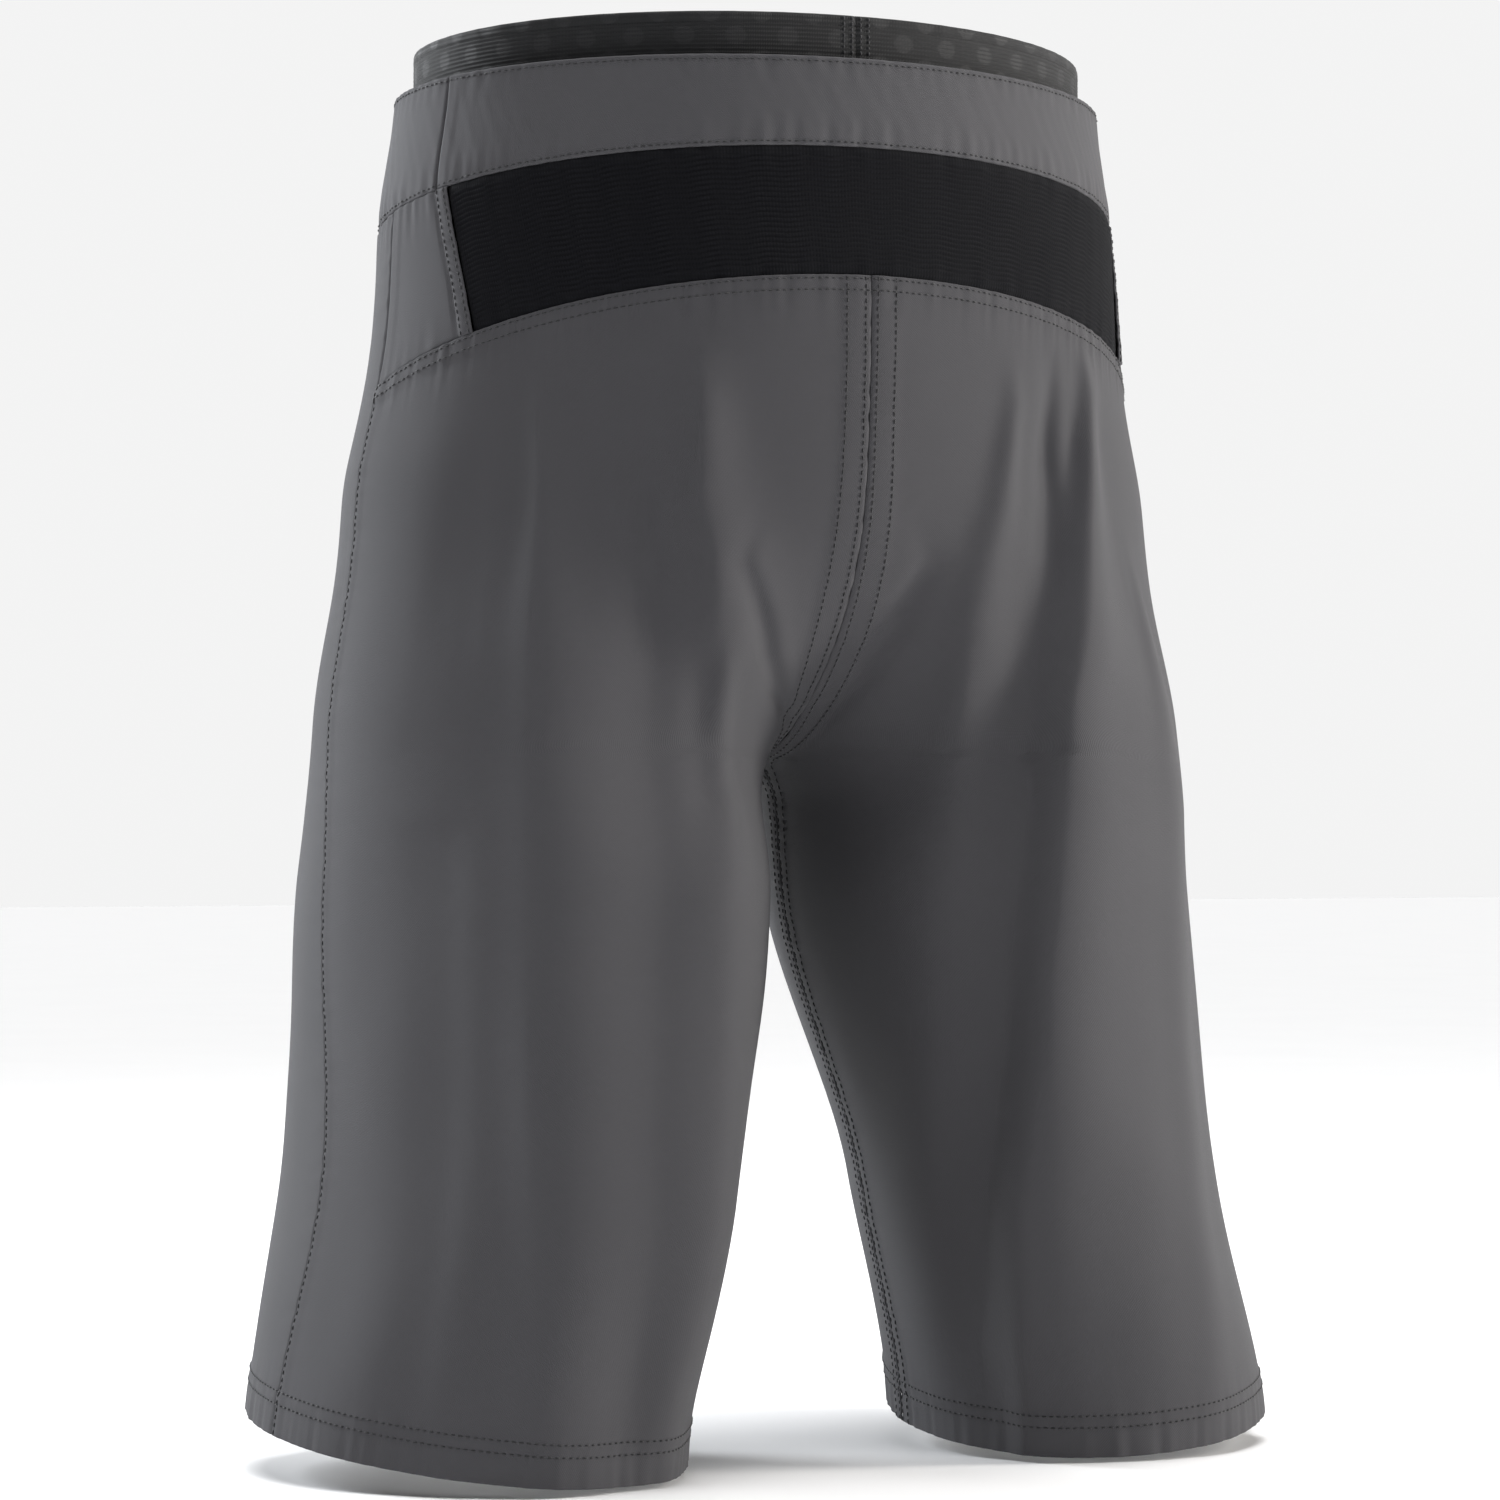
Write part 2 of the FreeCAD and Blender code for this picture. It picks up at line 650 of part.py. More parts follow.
outer_short(Form())
liner()
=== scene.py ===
import math

import bpy
import numpy as np
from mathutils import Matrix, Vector


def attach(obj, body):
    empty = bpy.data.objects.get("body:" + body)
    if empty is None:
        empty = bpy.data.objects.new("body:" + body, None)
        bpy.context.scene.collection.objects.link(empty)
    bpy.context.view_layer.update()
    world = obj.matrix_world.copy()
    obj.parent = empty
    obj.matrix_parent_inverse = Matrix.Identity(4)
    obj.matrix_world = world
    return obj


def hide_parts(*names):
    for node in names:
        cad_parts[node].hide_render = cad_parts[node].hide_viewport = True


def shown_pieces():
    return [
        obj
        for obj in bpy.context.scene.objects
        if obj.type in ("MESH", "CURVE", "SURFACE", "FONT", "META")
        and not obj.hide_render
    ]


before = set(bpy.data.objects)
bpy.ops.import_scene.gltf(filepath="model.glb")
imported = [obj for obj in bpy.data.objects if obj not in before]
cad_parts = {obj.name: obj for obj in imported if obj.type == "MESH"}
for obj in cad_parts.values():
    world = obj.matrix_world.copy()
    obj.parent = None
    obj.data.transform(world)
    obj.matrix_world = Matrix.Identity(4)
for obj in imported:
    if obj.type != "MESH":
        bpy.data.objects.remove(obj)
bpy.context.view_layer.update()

# Padded impact shorts: a knee-length outer short over a padded liner. The cloth is
# built from the same horizontal slices as the CAD panels, in millimetres, and turned
# into metres when a mesh is made. +Z up, wearer faces -Y, wearer's left is +X.
MM = 0.001

# ---- the garment's form ------------------------------------------------------------
# Torso slices: height -> half width, depth to the back, depth to the front.
TORSO = {0: (156, 111, 95), -45: (162, 113, 98), -100: (166, 117, 102),
         -170: (180, 113, 106), -260: (194, 106, 102), -300: (194, 106, 102)}
# Leg slices: height -> axis x, axis y, half width, half depth, yaw in degrees.
LEGS = {-120: (70, 5, 85, 105, 0), -260: (99, 5, 91, 99, 0), -330: (103, 8, 90, 110, 14),
        -450: (121, 25, 78, 108, 20), -560: (141, 30, 80, 96, 27)}
BLEND_TOP, BLEND_END = -150.0, -295.0
WEB, WEB_TOP = 8.0, 60.0
WAIST_RISE, RISE_FADE = 0.074, 300.0
RAY_REACH, BISECTIONS = 320.0, 28     # rays from an axis are halved down to its outline

# Seam lines: height at y = 0, slope against y, drop towards the inseam.
WAIST_TOP = (0.0, 0.0, 0.0)
BAND_BOTTOM = (-51.0, 0.14, 0.0)
YOKE = (-124.0, 0.325, 0.0)
HEM = (-544.0, -0.115, 0.05)
BAND_SEAM_ANGLE = 17.0
STRETCH_TOP_ANGLE, STRETCH_END_ANGLE = 20.0, 28.0
SIDE_SEAM_ANGLE = 2.5
FLY_GAP, FLY_TOP, FLY_END, FLY_TAPER, CHAIN_DEPTH = 5.5, -66.0, -160.0, 12.0, 3.2
LINER_EASE_WAIST, LINER_EASE_BODY = 8.0, 15.0
LINER_BAND = (19.0, -29.0)
LINER_HEM, GRIPPER_HEIGHT = -470.0, 28.0

# Visual cloth thicknesses.
SHELL_THICK = 0.9
BAND_THICK = 2.0
LINER_THICK = 0.7
ROW_WIDTH = 0.5         # of the furrow that a row of stitches pulls in
EDGES = ("low", "high", "start", "end")
EDGE_STEPS = (0.0, 0.12, 0.35, 0.75, 1.3, 2.1, 3.2)     # fine rows beside every seam


def smooth(t):
    t = np.clip(t, 0.0, 1.0)
    return t * t * (3 - 2 * t)


def mix(a, b, t):
    return a + (b - a) * t


def profile(keys):
    """Smooth curve through (height, value) keys that never overshoots them."""
    keys = sorted(keys)
    z = np.array([k[0] for k in keys], float)
    v = np.array([k[1] for k in keys], float)
    step = np.diff(z)
    rate = np.diff(v) / step
    slope = np.zeros(len(z))
    for i in range(1, len(z) - 1):
        if rate[i - 1] * rate[i] > 0:
            w1 = 2 * step[i] + step[i - 1]
            w2 = step[i] + 2 * step[i - 1]
            slope[i] = (w1 + w2) / (w1 / rate[i - 1] + w2 / rate[i])

    def at(height):
        h = np.clip(height, z[0], z[-1])
        i = np.clip(np.searchsorted(z, h, side="right") - 1, 0, len(z) - 2)
        t = (h - z[i]) / step[i]
        a = (1 + 2 * t) * (1 - t) ** 2 * v[i] + t * t * (3 - 2 * t) * v[i + 1]
        return a + step[i] * (t * (1 - t) ** 2 * slope[i] - t * t * (1 - t) * slope[i + 1])
    return at


class Form:
    """The garment's shape, standing a given ease inside the outer short."""

    def __init__(self, ease_waist=0.0, ease_body=0.0):
        def ease(z):
            return mix(ease_waist, ease_body, smooth(-z / 100.0))
        self.torso = [profile([(z, row[i] - ease(z)) for z, row in TORSO.items()])
                      for i in range(3)]
        self.legs = [profile([(z, row[i] - (ease(z) if i in (2, 3) else 0))
                              for z, row in LEGS.items()]) for i in range(5)]

    def slices(self, z):
        return [p(z) for p in self.torso + self.legs]

    def inside(self, x, y, z, cut):
        """Negative inside the garment's outer face; cut is slices(z)."""
        half, back, front, cx, cy, al, bl, yaw = cut
        depth = np.where(y > 0, back, front)
        trunk = (np.hypot(x / half, y / depth) - 1) * np.minimum(half, depth)
        c, s = np.cos(np.radians(yaw)), np.sin(np.radians(yaw))

        def leg(px):
            u, v = px - cx, y - cy
            return (np.hypot((u * c + v * s) / al, (v * c - u * s) / bl) - 1) * np.minimum(al, bl)
        near, far = leg(x), leg(-x)
        k = WEB + WEB_TOP * smooth((z - BLEND_END) / (BLEND_TOP - BLEND_END))
        h = np.clip(0.5 + 0.5 * (far - near) / k, 0, 1)
        legs = mix(far, near, h) - k * h * (1 - h)
        return mix(trunk, legs, smooth((BLEND_TOP - z) / (BLEND_TOP - BLEND_END)))

    def leg_point(self, angle, z):
        """Left half: angle from the leg's axis, 0 outer side, 90 back, -90 front."""
        cut = self.slices(z)
        cx, cy = cut[3:5]
        c, s = np.cos(np.radians(angle)), np.sin(np.radians(angle))
        low = np.ones_like(c)
        high = np.where(c < -1e-6, np.minimum(RAY_REACH, cx / np.maximum(-c, 1e-6)), RAY_REACH)
        for _ in range(BISECTIONS):
            r = (low + high) / 2
            hit = self.inside(cx + r * c, cy + r * s, z, cut) < 0
            low, high = np.where(hit, r, low), np.where(hit, high, r)
        return cx + low * c, cy + low * s

    def torso_point(self, angle, z):
        half, back, front = [p(z) for p in self.torso]
        s = np.sin(np.radians(angle))
        return half * np.cos(np.radians(angle)), np.where(s > 0, back, front) * s

    def centre_angle(self, z, side, gap):
        """Angle from the leg's axis to the centre seam, or to the inseam below the crotch."""
        cut = self.slices(z)
        cx, cy = cut[3:5]
        gap = gap + 0 * z
        low, high = cy + 0 * z, cy + side * 220.0
        for _ in range(BISECTIONS):
            y = (low + high) / 2
            hit = self.inside(gap, y, z, cut) < 0
            low, high = np.where(hit, y, low), np.where(hit, high, y)
        angle = np.degrees(np.arctan2(side * (low - cy), gap - cx))
        return np.where(self.inside(gap, cy, z, cut) >= 0, 180.0, angle)


def lift(x, y, z):
    """Tilt the waist: heights climb towards the back, fading out down the seat."""
    return np.stack([x, y, z + WAIST_RISE * np.clip((z + RISE_FADE) / RISE_FADE, 0, 1) * y], -1)


# ---- folds ---------------------------------------------------------------------------
# Each fold runs through (angle, height) points. Then come its widths towards the outer
# side and towards the inseam, its height in millimetres (negative for a valley), and the
# lengths over which its top and bottom ends fade.
BACK_FOLDS = {
    1: (  # wearer's left
        (((90, -130), (92, -152), (95, -174), (103, -198), (108, -222), (116, -252)),
         (11, 23), 6.0, 48, 70),
        (((112, -240), (115, -292), (112, -330), (115, -400), (119, -480), (122, -560)),
         (12, 18), 4.4, 50, 120),
        (((108, -198), (116, -214), (126, -234), (139, -250), (152, -258)), (15, 8), -3.4, 50, 20),
        (((78, -160), (88, -198), (94, -240), (95, -300), (95, -360), (98, -420), (104, -490),
          (111, -560)), (18, 12), -3.6, 60, 90),
        (((52, -140), (60, -198), (67, -245), (70, -320), (72, -388), (77, -446), (83, -504),
          (88, -560)), (12, 22), 5.2, 60, 160),
        (((38, -170), (44, -240), (46, -330), (48, -420), (52, -560)), (22, 12), -1.8, 60, 120)),
    -1: (  # wearer's right
        (((90, -132), (93, -148), (98, -172), (105, -196), (111, -220), (116, -250)),
         (13, 11), 4.0, 52, 70),
        (((76, -128), (78, -146), (80, -170), (85, -194), (94, -218), (101, -250), (104, -290),
          (110, -332), (118, -392), (131, -454), (141, -516)), (9, 17), -5.2, 58, 110),
        (((62, -124), (66, -144), (70, -170), (75, -194), (81, -218), (90, -250), (95, -290),
          (100, -332), (108, -392), (119, -454), (127, -516), (130, -560)), (24, 9), 7.6, 66, 190),
        (((116, -240), (122, -290), (126, -332), (135, -392), (150, -456)), (14, 20), 2.0, 40, 60),
        (((46, -200), (52, -250), (58, -320), (64, -392), (72, -460), (78, -540)), (16, 12), 2.2, 60, 90),
        (((118, -196), (128, -220), (140, -242), (152, -258)), (14, 9), -2.6, 46, 20),
        (((18, -500), (20, -530), (22, -575)), (26, 24), -6.0, 50, 1))}
FRONT_FOLDS = {
    1: (
        (((108, -150), (122, -200), (142, -248)), (14, 9), 4.4, 40, 30),
        (((94, -170), (110, -225), (134, -268)), (10, 10), -4.0, 40, 25),
        (((78, -150), (82, -300), (84, -430), (86, -560)), (22, 13), 4.2, 90, 60),
        (((100, -290), (98, -400), (96, -560)), (10, 14), -3.4, 60, 60),
        (((56, -190), (58, -330), (60, -560)), (15, 15), -2.4, 80, 60),
        (((128, -320), (124, -430), (120, -560)), (15, 12), 3.0, 60, 60)),
    -1: (
        (((106, -145), (119, -195), (140, -245)), (13, 8), 4.2, 40, 30),
        (((92, -165), (108, -220), (132, -266)), (10, 10), -4.0, 40, 25),
        (((74, -160), (80, -310), (80, -440), (82, -560)), (21, 12), 4.4, 90, 60),
        (((97, -280), (96, -400), (93, -560)), (10, 14), -3.4, 60, 60),
        (((58, -200), (57, -330), (58, -560)), (14, 14), -2.4, 80, 60),
        (((131, -330), (126, -430), (122, -560)), (15, 12), 3.0, 60, 60),
        (((-18, -500), (-20, -530), (-22, -575)), (24, 26), -6.0, 50, 1))}
FOLD_RADIUS = 95.0      # arc length per radian used for a fold's width
FOLD_TIP, FOLD_TIP_LENGTH = 0.45, 110.0     # folds start this much narrower at the top


def fold_field(folds, angle, z):
    total = np.zeros_like(z)
    for path, widths, height, fade_top, fade_end in folds:
        zs = np.array([p[1] for p in path][::-1], float)
        at = np.interp(z, zs, [p[0] for p in path][::-1])
        across = np.radians(angle - at) * FOLD_RADIUS
        across = across / np.where(across < 0, widths[0], widths[1])
        across = across / mix(FOLD_TIP, 1.0, smooth((zs[-1] - z) / FOLD_TIP_LENGTH))
        along = smooth((zs[-1] + fade_top / 2 - z) / fade_top) \
            * smooth((z - zs[0] + fade_end / 2) / fade_end)
        total += height * along * np.exp(-across ** 2)
    return total


def waves(angle, z, seed):
    """Slow unevenness of cloth that nothing pulls flat."""
    rng = np.random.default_rng(seed)
    total = np.zeros_like(z)
    for wave in (150.0, 110.0, 80.0, 55.0):
        turn, a, b = rng.uniform(0, 2 * np.pi, 3)
        u = np.radians(angle) * FOLD_RADIUS
        total += wave / 260.0 * np.sin(2 * np.pi * (u * np.cos(turn) + 0.4 * z * np.sin(turn)) / wave + a) \
            * np.cos(2 * np.pi * z / (wave * 2.1) + b)
    return total


def puckers(along, distance, reach, height, seed):
    """Small gathers that a line of stitches leaves beside a seam."""
    rng = np.random.default_rng(seed)
    total = np.zeros_like(along)
    for wave in (7.0, 11.0, 17.0):
        a, b = rng.uniform(0, 2 * np.pi, 2)
        total += np.sin(2 * np.pi * along / wave + a + 1.5 * np.sin(2 * np.pi * along / 73.0 + b))
    return height * total / 2 * np.exp(-(distance / reach) ** 2)


# ---- cloth panels --------------------------------------------------------------------
def edge_fractions(length, count):
    """Fractions 0..1 along a length, with fine steps at both ends."""
    steps = np.array(EDGE_STEPS)[:, None] / length[None, :]
    middle = np.linspace(0, 1, count)[1:-1, None]
    middle = mix(steps[-1], 1 - steps[-1], middle)
    return np.concatenate([steps, middle, 1 - steps[::-1]])


class Panel:
    """One cut piece: point(s, z) gives x and y, s running 0..1 between its side seams,
    and low and high are its bottom and top seam lines."""

    def __init__(self, point, low, high, axis_x=0.0, pitch=2.2, across=None):
        s_line = np.linspace(0, 1, 241)

        def seam_height(seam):
            z = np.full_like(s_line, seam[0])
            for _ in range(7):
                x, y = point(s_line, z)
                z = seam[0] + seam[1] * y + seam[2] * (x - axis_x)
            return z
        z_low, z_high = seam_height(low), seam_height(high)
        height = float(np.mean(z_high - z_low))
        t_line = np.linspace(0, 1, 61)
        s_grid, t_grid = np.meshgrid(s_line[::4], t_line)
        z_grid = mix(z_low[::4], z_high[::4], t_grid)
        x, y = point(s_grid, z_grid)
        run = np.hypot(np.diff(x, axis=1), np.diff(y, axis=1)).sum(axis=1)
        cols = max(8, int(run.max() / (across or pitch)))
        rows = max(6, int(height / pitch))
        s = edge_fractions(run, cols)                       # (cols, t_line)
        drop = z_high - z_low
        t = edge_fractions(drop, rows)                      # (rows, s_line)
        row_t = t.mean(axis=1)
        s_rc = np.array([np.interp(row_t, t_line, s[j]) for j in range(len(s))]).T
        t_rc = np.array([np.interp(s_rc[i], s_line, t[i]) for i in range(len(t))])
        low_rc, high_rc = np.interp(s_rc, s_line, z_low), np.interp(s_rc, s_line, z_high)
        self.z = mix(low_rc, high_rc, t_rc)
        self.x, self.y = point(s_rc, self.z)
        self.base = lift(self.x, self.y, self.z)
        width = np.interp(row_t, t_line, run)[:, None]
        self.from_low, self.from_high = self.z - low_rc, high_rc - self.z
        self.from_start, self.from_end = s_rc * width, (1 - s_rc) * width
        self.u, self.v = s_rc * run.max(), self.z
        d_row = np.gradient(self.base, axis=0)
        d_col = np.gradient(self.base, axis=1)
        n = np.cross(d_col, d_row)
        out = self.x - axis_x, self.y
        turned = bool((n[..., 0] * out[0] + n[..., 1] * out[1]).sum() < 0)
        self.lay(n, turned, float(run.max()), float((z_high - z_low).max()))

    def lay(self, n, turned, width, height):
        """Normals and area from the grid's cross products, and a relief with nothing on it."""
        self.turned = turned
        self.normal = n / np.linalg.norm(n, axis=-1, keepdims=True) * (-1 if turned else 1)
        self.raise_by = np.zeros_like(self.z)
        self.rows = []
        self.flat = (width * MM, height * MM)
        self.area = float(np.linalg.norm(n[1:, 1:], axis=-1).sum()) * MM * MM

    def distance(self, edge):
        return {"low": self.from_low, "high": self.from_high,
                "start": self.from_start, "end": self.from_end}[edge]

    def along(self, edge):
        return self.u if edge in ("low", "high") else self.v

    def lap(self, edge, width, height):
        """Raise a band beside an edge, where seam allowances lie under the cloth."""
        d = self.distance(edge)
        self.raise_by += height * smooth((width + 1.2 - d) / 2.4)

    def tuck(self, edge, width, depth):
        """Sink the edge that runs under its neighbour."""
        self.raise_by -= depth * smooth((width - self.distance(edge)) / width)

    def groove(self, edge, at, width, depth, sewn=False):
        """Furrow along an edge; where it is sewn, sew() lays a row of stitches in it."""
        self.raise_by -= depth * np.exp(-((self.distance(edge) - at) / width) ** 2)
        if sewn:
            self.rows.append((edge, at))

    def seam(self, edge, lap=None, tuck=None, closing=None, rows=(), depth=0.2, pucker=None):
        """All that a seam does to an edge: a raised lap or sunken tuck, the furrow where it
        closes, its rows of stitches and the gathers beside them."""
        if lap:
            self.lap(edge, *lap)
        if tuck:
            self.tuck(edge, *tuck)
        if closing:
            self.groove(edge, 0.0, *closing)
        for at in rows:
            self.groove(edge, at, ROW_WIDTH, depth, True)
        if pucker:
            self.pucker(edge, *pucker)

    def pucker(self, edge, reach, height, seed):
        self.raise_by += puckers(self.along(edge), self.distance(edge), reach, height, seed)

    def outer(self):
        return self.base + self.normal * self.raise_by[..., None]


def mesh_object(name, verts, faces, attributes=None):
    mesh = bpy.data.meshes.new(name)
    mesh.from_pydata((np.asarray(verts) * MM).tolist(), [], faces)
    for key, values in (attributes or {}).items():
        layer = mesh.attributes.new(key, "FLOAT_VECTOR", "POINT")
        layer.data.foreach_set("vector", np.asarray(values, np.float32).ravel())
    mesh.polygons.foreach_set("use_smooth", [True] * len(mesh.polygons))
    obj = bpy.data.objects.new(name, mesh)
    bpy.context.scene.collection.objects.link(obj)
    return obj


def grid_faces(rows, cols, start=0, flip=False):
    i = np.arange(rows * cols).reshape(rows, cols) + start
    quads = np.stack([i[:-1, :-1], i[:-1, 1:], i[1:, 1:], i[1:, :-1]], -1).reshape(-1, 4)
    return quads[:, ::-1] if flip else quads


def rim_distance(panel, edges=EDGES):
    return np.minimum.reduce([panel.distance(edge) for edge in edges])


def round_over(distance, radius):
    """0 at a rim and 1 from a radius inwards, along a quarter circle."""
    return np.sqrt(1 - (1 - np.clip(distance / radius, 0, 1)) ** 2)


def closed_grids(front, back):
    """Points and faces of two facing grids, joined round their rims."""
    rows, cols = front.shape[:2]
    index = np.arange(rows * cols).reshape(rows, cols)
    ring = np.concatenate([index[0, :-1], index[:-1, -1], index[-1, :0:-1], index[:0:-1, 0]])
    ahead = np.roll(ring, -1)
    wall = np.stack([ring, ring + rows * cols, ahead + rows * cols, ahead], -1)
    faces = [grid_faces(rows, cols), grid_faces(rows, cols, rows * cols, True), wall]
    return np.concatenate([front.reshape(-1, 3), back.reshape(-1, 3)]), np.concatenate(faces)


def cloth_mesh(name, panel, thick, mirror=False, skip_round=()):
    """Closed cloth of that thickness, with rounded edges all round."""
    rounded = [edge for edge in EDGES if edge not in skip_round]
    swell = round_over(rim_distance(panel, rounded), thick * 0.55)
    middle = panel.raise_by - thick / 2
    top = panel.base + panel.normal * (middle + thick / 2 * swell)[..., None]
    back = panel.base + panel.normal * (middle - thick / 2 * swell)[..., None]
    rows, cols = panel.z.shape
    verts = np.concatenate([top.reshape(-1, 3), back.reshape(-1, 3)])
    uv = np.stack([panel.u, panel.v, 0 * panel.u], -1).reshape(-1, 3)
    inner_uv = uv + np.array([0.0, 0.0, 1.0])
    faces = np.concatenate([grid_faces(rows, cols), grid_faces(rows, cols, rows * cols, True)])
    # The rim of the back shares the rim of the front.
    index = np.arange(rows * cols).reshape(rows, cols)
    rim = np.zeros((rows, cols), bool)
    rim[0], rim[-1], rim[:, 0], rim[:, -1] = True, True, True, True
    remap = np.arange(2 * rows * cols)
    remap[index[rim] + rows * cols] = index[rim]
    faces = remap[faces]
    used = np.unique(faces)
    compact = np.zeros(2 * rows * cols, int)
    compact[used] = np.arange(len(used))
    verts, uv = verts[used], np.concatenate([uv, inner_uv])[used]
    faces = compact[faces]
    if mirror:
        verts = verts * np.array([-1, 1, 1])
    if mirror != panel.turned:
        faces = faces[:, ::-1]
    return mesh_object(name, verts, faces.tolist(), {"cloth": uv})


# ---- stitches ------------------------------------------------------------------------
STITCH_PITCH, STITCH_LENGTH, THREAD_R, THREAD_SIDES = 3.0, 2.2, 0.36, 5


def edge_line(panel, edge, at):
    """Points and normals of the panel's outer face at a distance from an edge."""
    d = panel.distance(edge)
    outer = panel.outer()
    if edge in ("start", "end"):
        d, outer, normal = d.T, outer.transpose(1, 0, 2), panel.normal.transpose(1, 0, 2)
    else:
        normal = panel.normal
    if edge in ("high", "end"):
        d, outer, normal = d[::-1], outer[::-1], normal[::-1]
    points, normals = [], []
    for j in range(d.shape[1]):
        points.append([np.interp(at, d[:, j], outer[:, j, k]) for k in range(3)])
        normals.append([np.interp(at, d[:, j], normal[:, j, k]) for k in range(3)])
    return np.array(points), np.array(normals)


def resample(points, normals, pitch):
    run = np.concatenate([[0], np.cumsum(np.linalg.norm(np.diff(points, axis=0), axis=1))])
    count = max(2, int(run[-1] / pitch))
    at = (np.arange(count) + 0.5) / count * run[-1]

    def pick(values, where):
        return np.stack([np.interp(where, run, values[:, k]) for k in range(3)], -1)
    centre, n = pick(points, at), pick(normals, at)
    t = pick(points, at + 0.4) - pick(points, at - 0.4)
    t /= np.linalg.norm(t, axis=1, keepdims=True)
    n -= t * (n * t).sum(1, keepdims=True)
    n /= np.linalg.norm(n, axis=1, keepdims=True)
    return centre, t, n


def thread_geometry(centre, t, n, length=STITCH_LENGTH):
    """Short threads that dive into the cloth at both ends."""
    b = np.cross(n, t)
    stations = ((-0.5, 0.4, -0.28), (-0.27, 1.0, 0.20), (0.27, 1.0, 0.20), (0.5, 0.4, -0.28))
    turn = np.arange(THREAD_SIDES) / THREAD_SIDES * 2 * np.pi
    rings = []
    for along, size, rise in stations:
        middle = centre + t * (along * length) + n * rise
        ring = [middle + THREAD_R * size * (n * (0.8 * math.sin(a)) + b * math.cos(a)) for a in turn]
        rings.append(np.stack(ring, 1))
    verts = np.stack(rings, 1)                      # stitch, ring, side, xyz
    count = len(centre)
    k = np.arange(THREAD_SIDES)
    quads = []
    for r in range(len(stations) - 1):
        a, c = r * THREAD_SIDES, (r + 1) * THREAD_SIDES
        quads += [(a + i, a + (i + 1) % THREAD_SIDES, c + (i + 1) % THREAD_SIDES, c + i) for i in k]
    one = THREAD_SIDES * len(stations)
    quads = (np.array(quads)[None] + (np.arange(count) * one)[:, None, None]).reshape(-1, 4)
    caps = np.stack([k[::-1], k + (len(stations) - 1) * THREAD_SIDES])
    caps = (caps[None] + (np.arange(count) * one)[:, None, None]).reshape(-1, THREAD_SIDES)
    return verts.reshape(-1, 3), quads.tolist() + caps.tolist()


class Sewing:
    """Collects rows of stitches that share an object."""

    def __init__(self):
        self.verts, self.faces, self.count = [], [], 0

    def row(self, panel, edge, at, mirror=False, pitch=STITCH_PITCH, length=STITCH_LENGTH):
        verts, faces = thread_geometry(*resample(*edge_line(panel, edge, at), pitch), length)
        if mirror:
            verts = verts * np.array([-1, 1, 1])
            faces = [f[::-1] for f in faces]
        self.faces += [[i + self.count for i in f] for f in faces]
        self.verts.append(verts)
        self.count += len(verts)

    def make(self, name):
        return mesh_object(name, np.concatenate(self.verts), self.faces)


# ---- panel kinds ---------------------------------------------------------------------
outer_form = Form()
liner_form = Form(LINER_EASE_WAIST, LINER_EASE_BODY)


SEAM_GAP = 0.01         # sewn edges meet; the CAD leaves a wider gap there


def leg_side(form, side, gap):
    """point(s, z) of a left leg panel, from the side seam to the centre seam."""
    heights = np.linspace(-600, 40, 5121)
    table = form.centre_angle(heights, side, gap(heights))
    inset = np.degrees(SEAM_GAP / form.legs[0](heights))
    table = np.minimum(table, 180.0 - inset)

    def point(s, z):
        start, end = np.interp(z, heights, inset), np.interp(z, heights, table)
        return form.leg_point(side * mix(start, end, s), z)
    return point


def torso_part(form, start, end):
    def point(s, z):
        return form.torso_point(mix(start(z), end(z), s), z)
    return point


def closed_centre(z):
    return SEAM_GAP + 0 * z


def fly_edge(z):
    return mix(SEAM_GAP, FLY_GAP, smooth((z - FLY_END + FLY_TAPER) / FLY_TAPER))


def stretch_edge(z):
    """Angle of the border between the stretch panel and the side yoke."""
    return mix(STRETCH_END_ANGLE, STRETCH_TOP_ANGLE, np.clip((z + 106.8) / 61.1, -0.2, 1.2))


def leg_angle(form, panel):
    return np.degrees(np.arctan2(panel.y - form.legs[1](panel.z), panel.x - form.legs[0](panel.z)))


class FlatPanel(Panel):
    """A grid laid on any function base(s, t), both 0..1, of the given size."""

    def __init__(self, base, width, height, pitch=2.0, across=None):
        t = edge_fractions(np.array([height]), max(6, int(height / pitch)))[:, 0]
        s = edge_fractions(np.array([width]), max(6, int(width / (across or pitch))))[:, 0]
        s, t = np.meshgrid(s, t)
        self.base = base(s, t)
        self.u, self.v = s * width, t * height
        self.z = self.base[..., 2]
        self.from_low, self.from_high = t * height, (1 - t) * height
        self.from_start, self.from_end = s * width, (1 - s) * width
        n = np.cross(np.gradient(self.base, axis=1), np.gradient(self.base, axis=0))
        self.lay(n, False, width, height)


def squircle(form_point, angles, heights, corner=0.35):
    """base(s, t) of a rounded patch between two angles and two heights."""
    def base(s, t):
        a, b = 2 * s - 1, 2 * t - 1
        angle = mix(angles[0], angles[1], (1 + a * np.sqrt(1 - corner * b * b)) / 2)
        z = mix(heights[0], heights[1], (1 + b * np.sqrt(1 - corner * a * a)) / 2)
        return lift(*form_point(angle, z), z)
    return base


# ---- pieces attached to their bodies -------------------------------------------------
LEFT_RIGHT = (("left", False, 1), ("right", True, -1))
seam_rows = {}


def sew(panel, body, mirror=False, **thread):
    """Lay stitches in the panel's sewn furrows, on its relief as it stands now."""
    for edge, at in panel.rows:
        seam_rows.setdefault(body, Sewing()).row(panel, edge, at, mirror, **thread)
    panel.rows = []


def piece(obj, body, node, slot_name):
    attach(obj, body)
    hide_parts(node)
    return obj


def all_round(value):
    return lambda z: value + 0 * z


def leg_cloth(form, side, gap, low, high, **pitch):
    return Panel(leg_side(form, side, gap), low, high, float(form.legs[0](low[0])), **pitch)


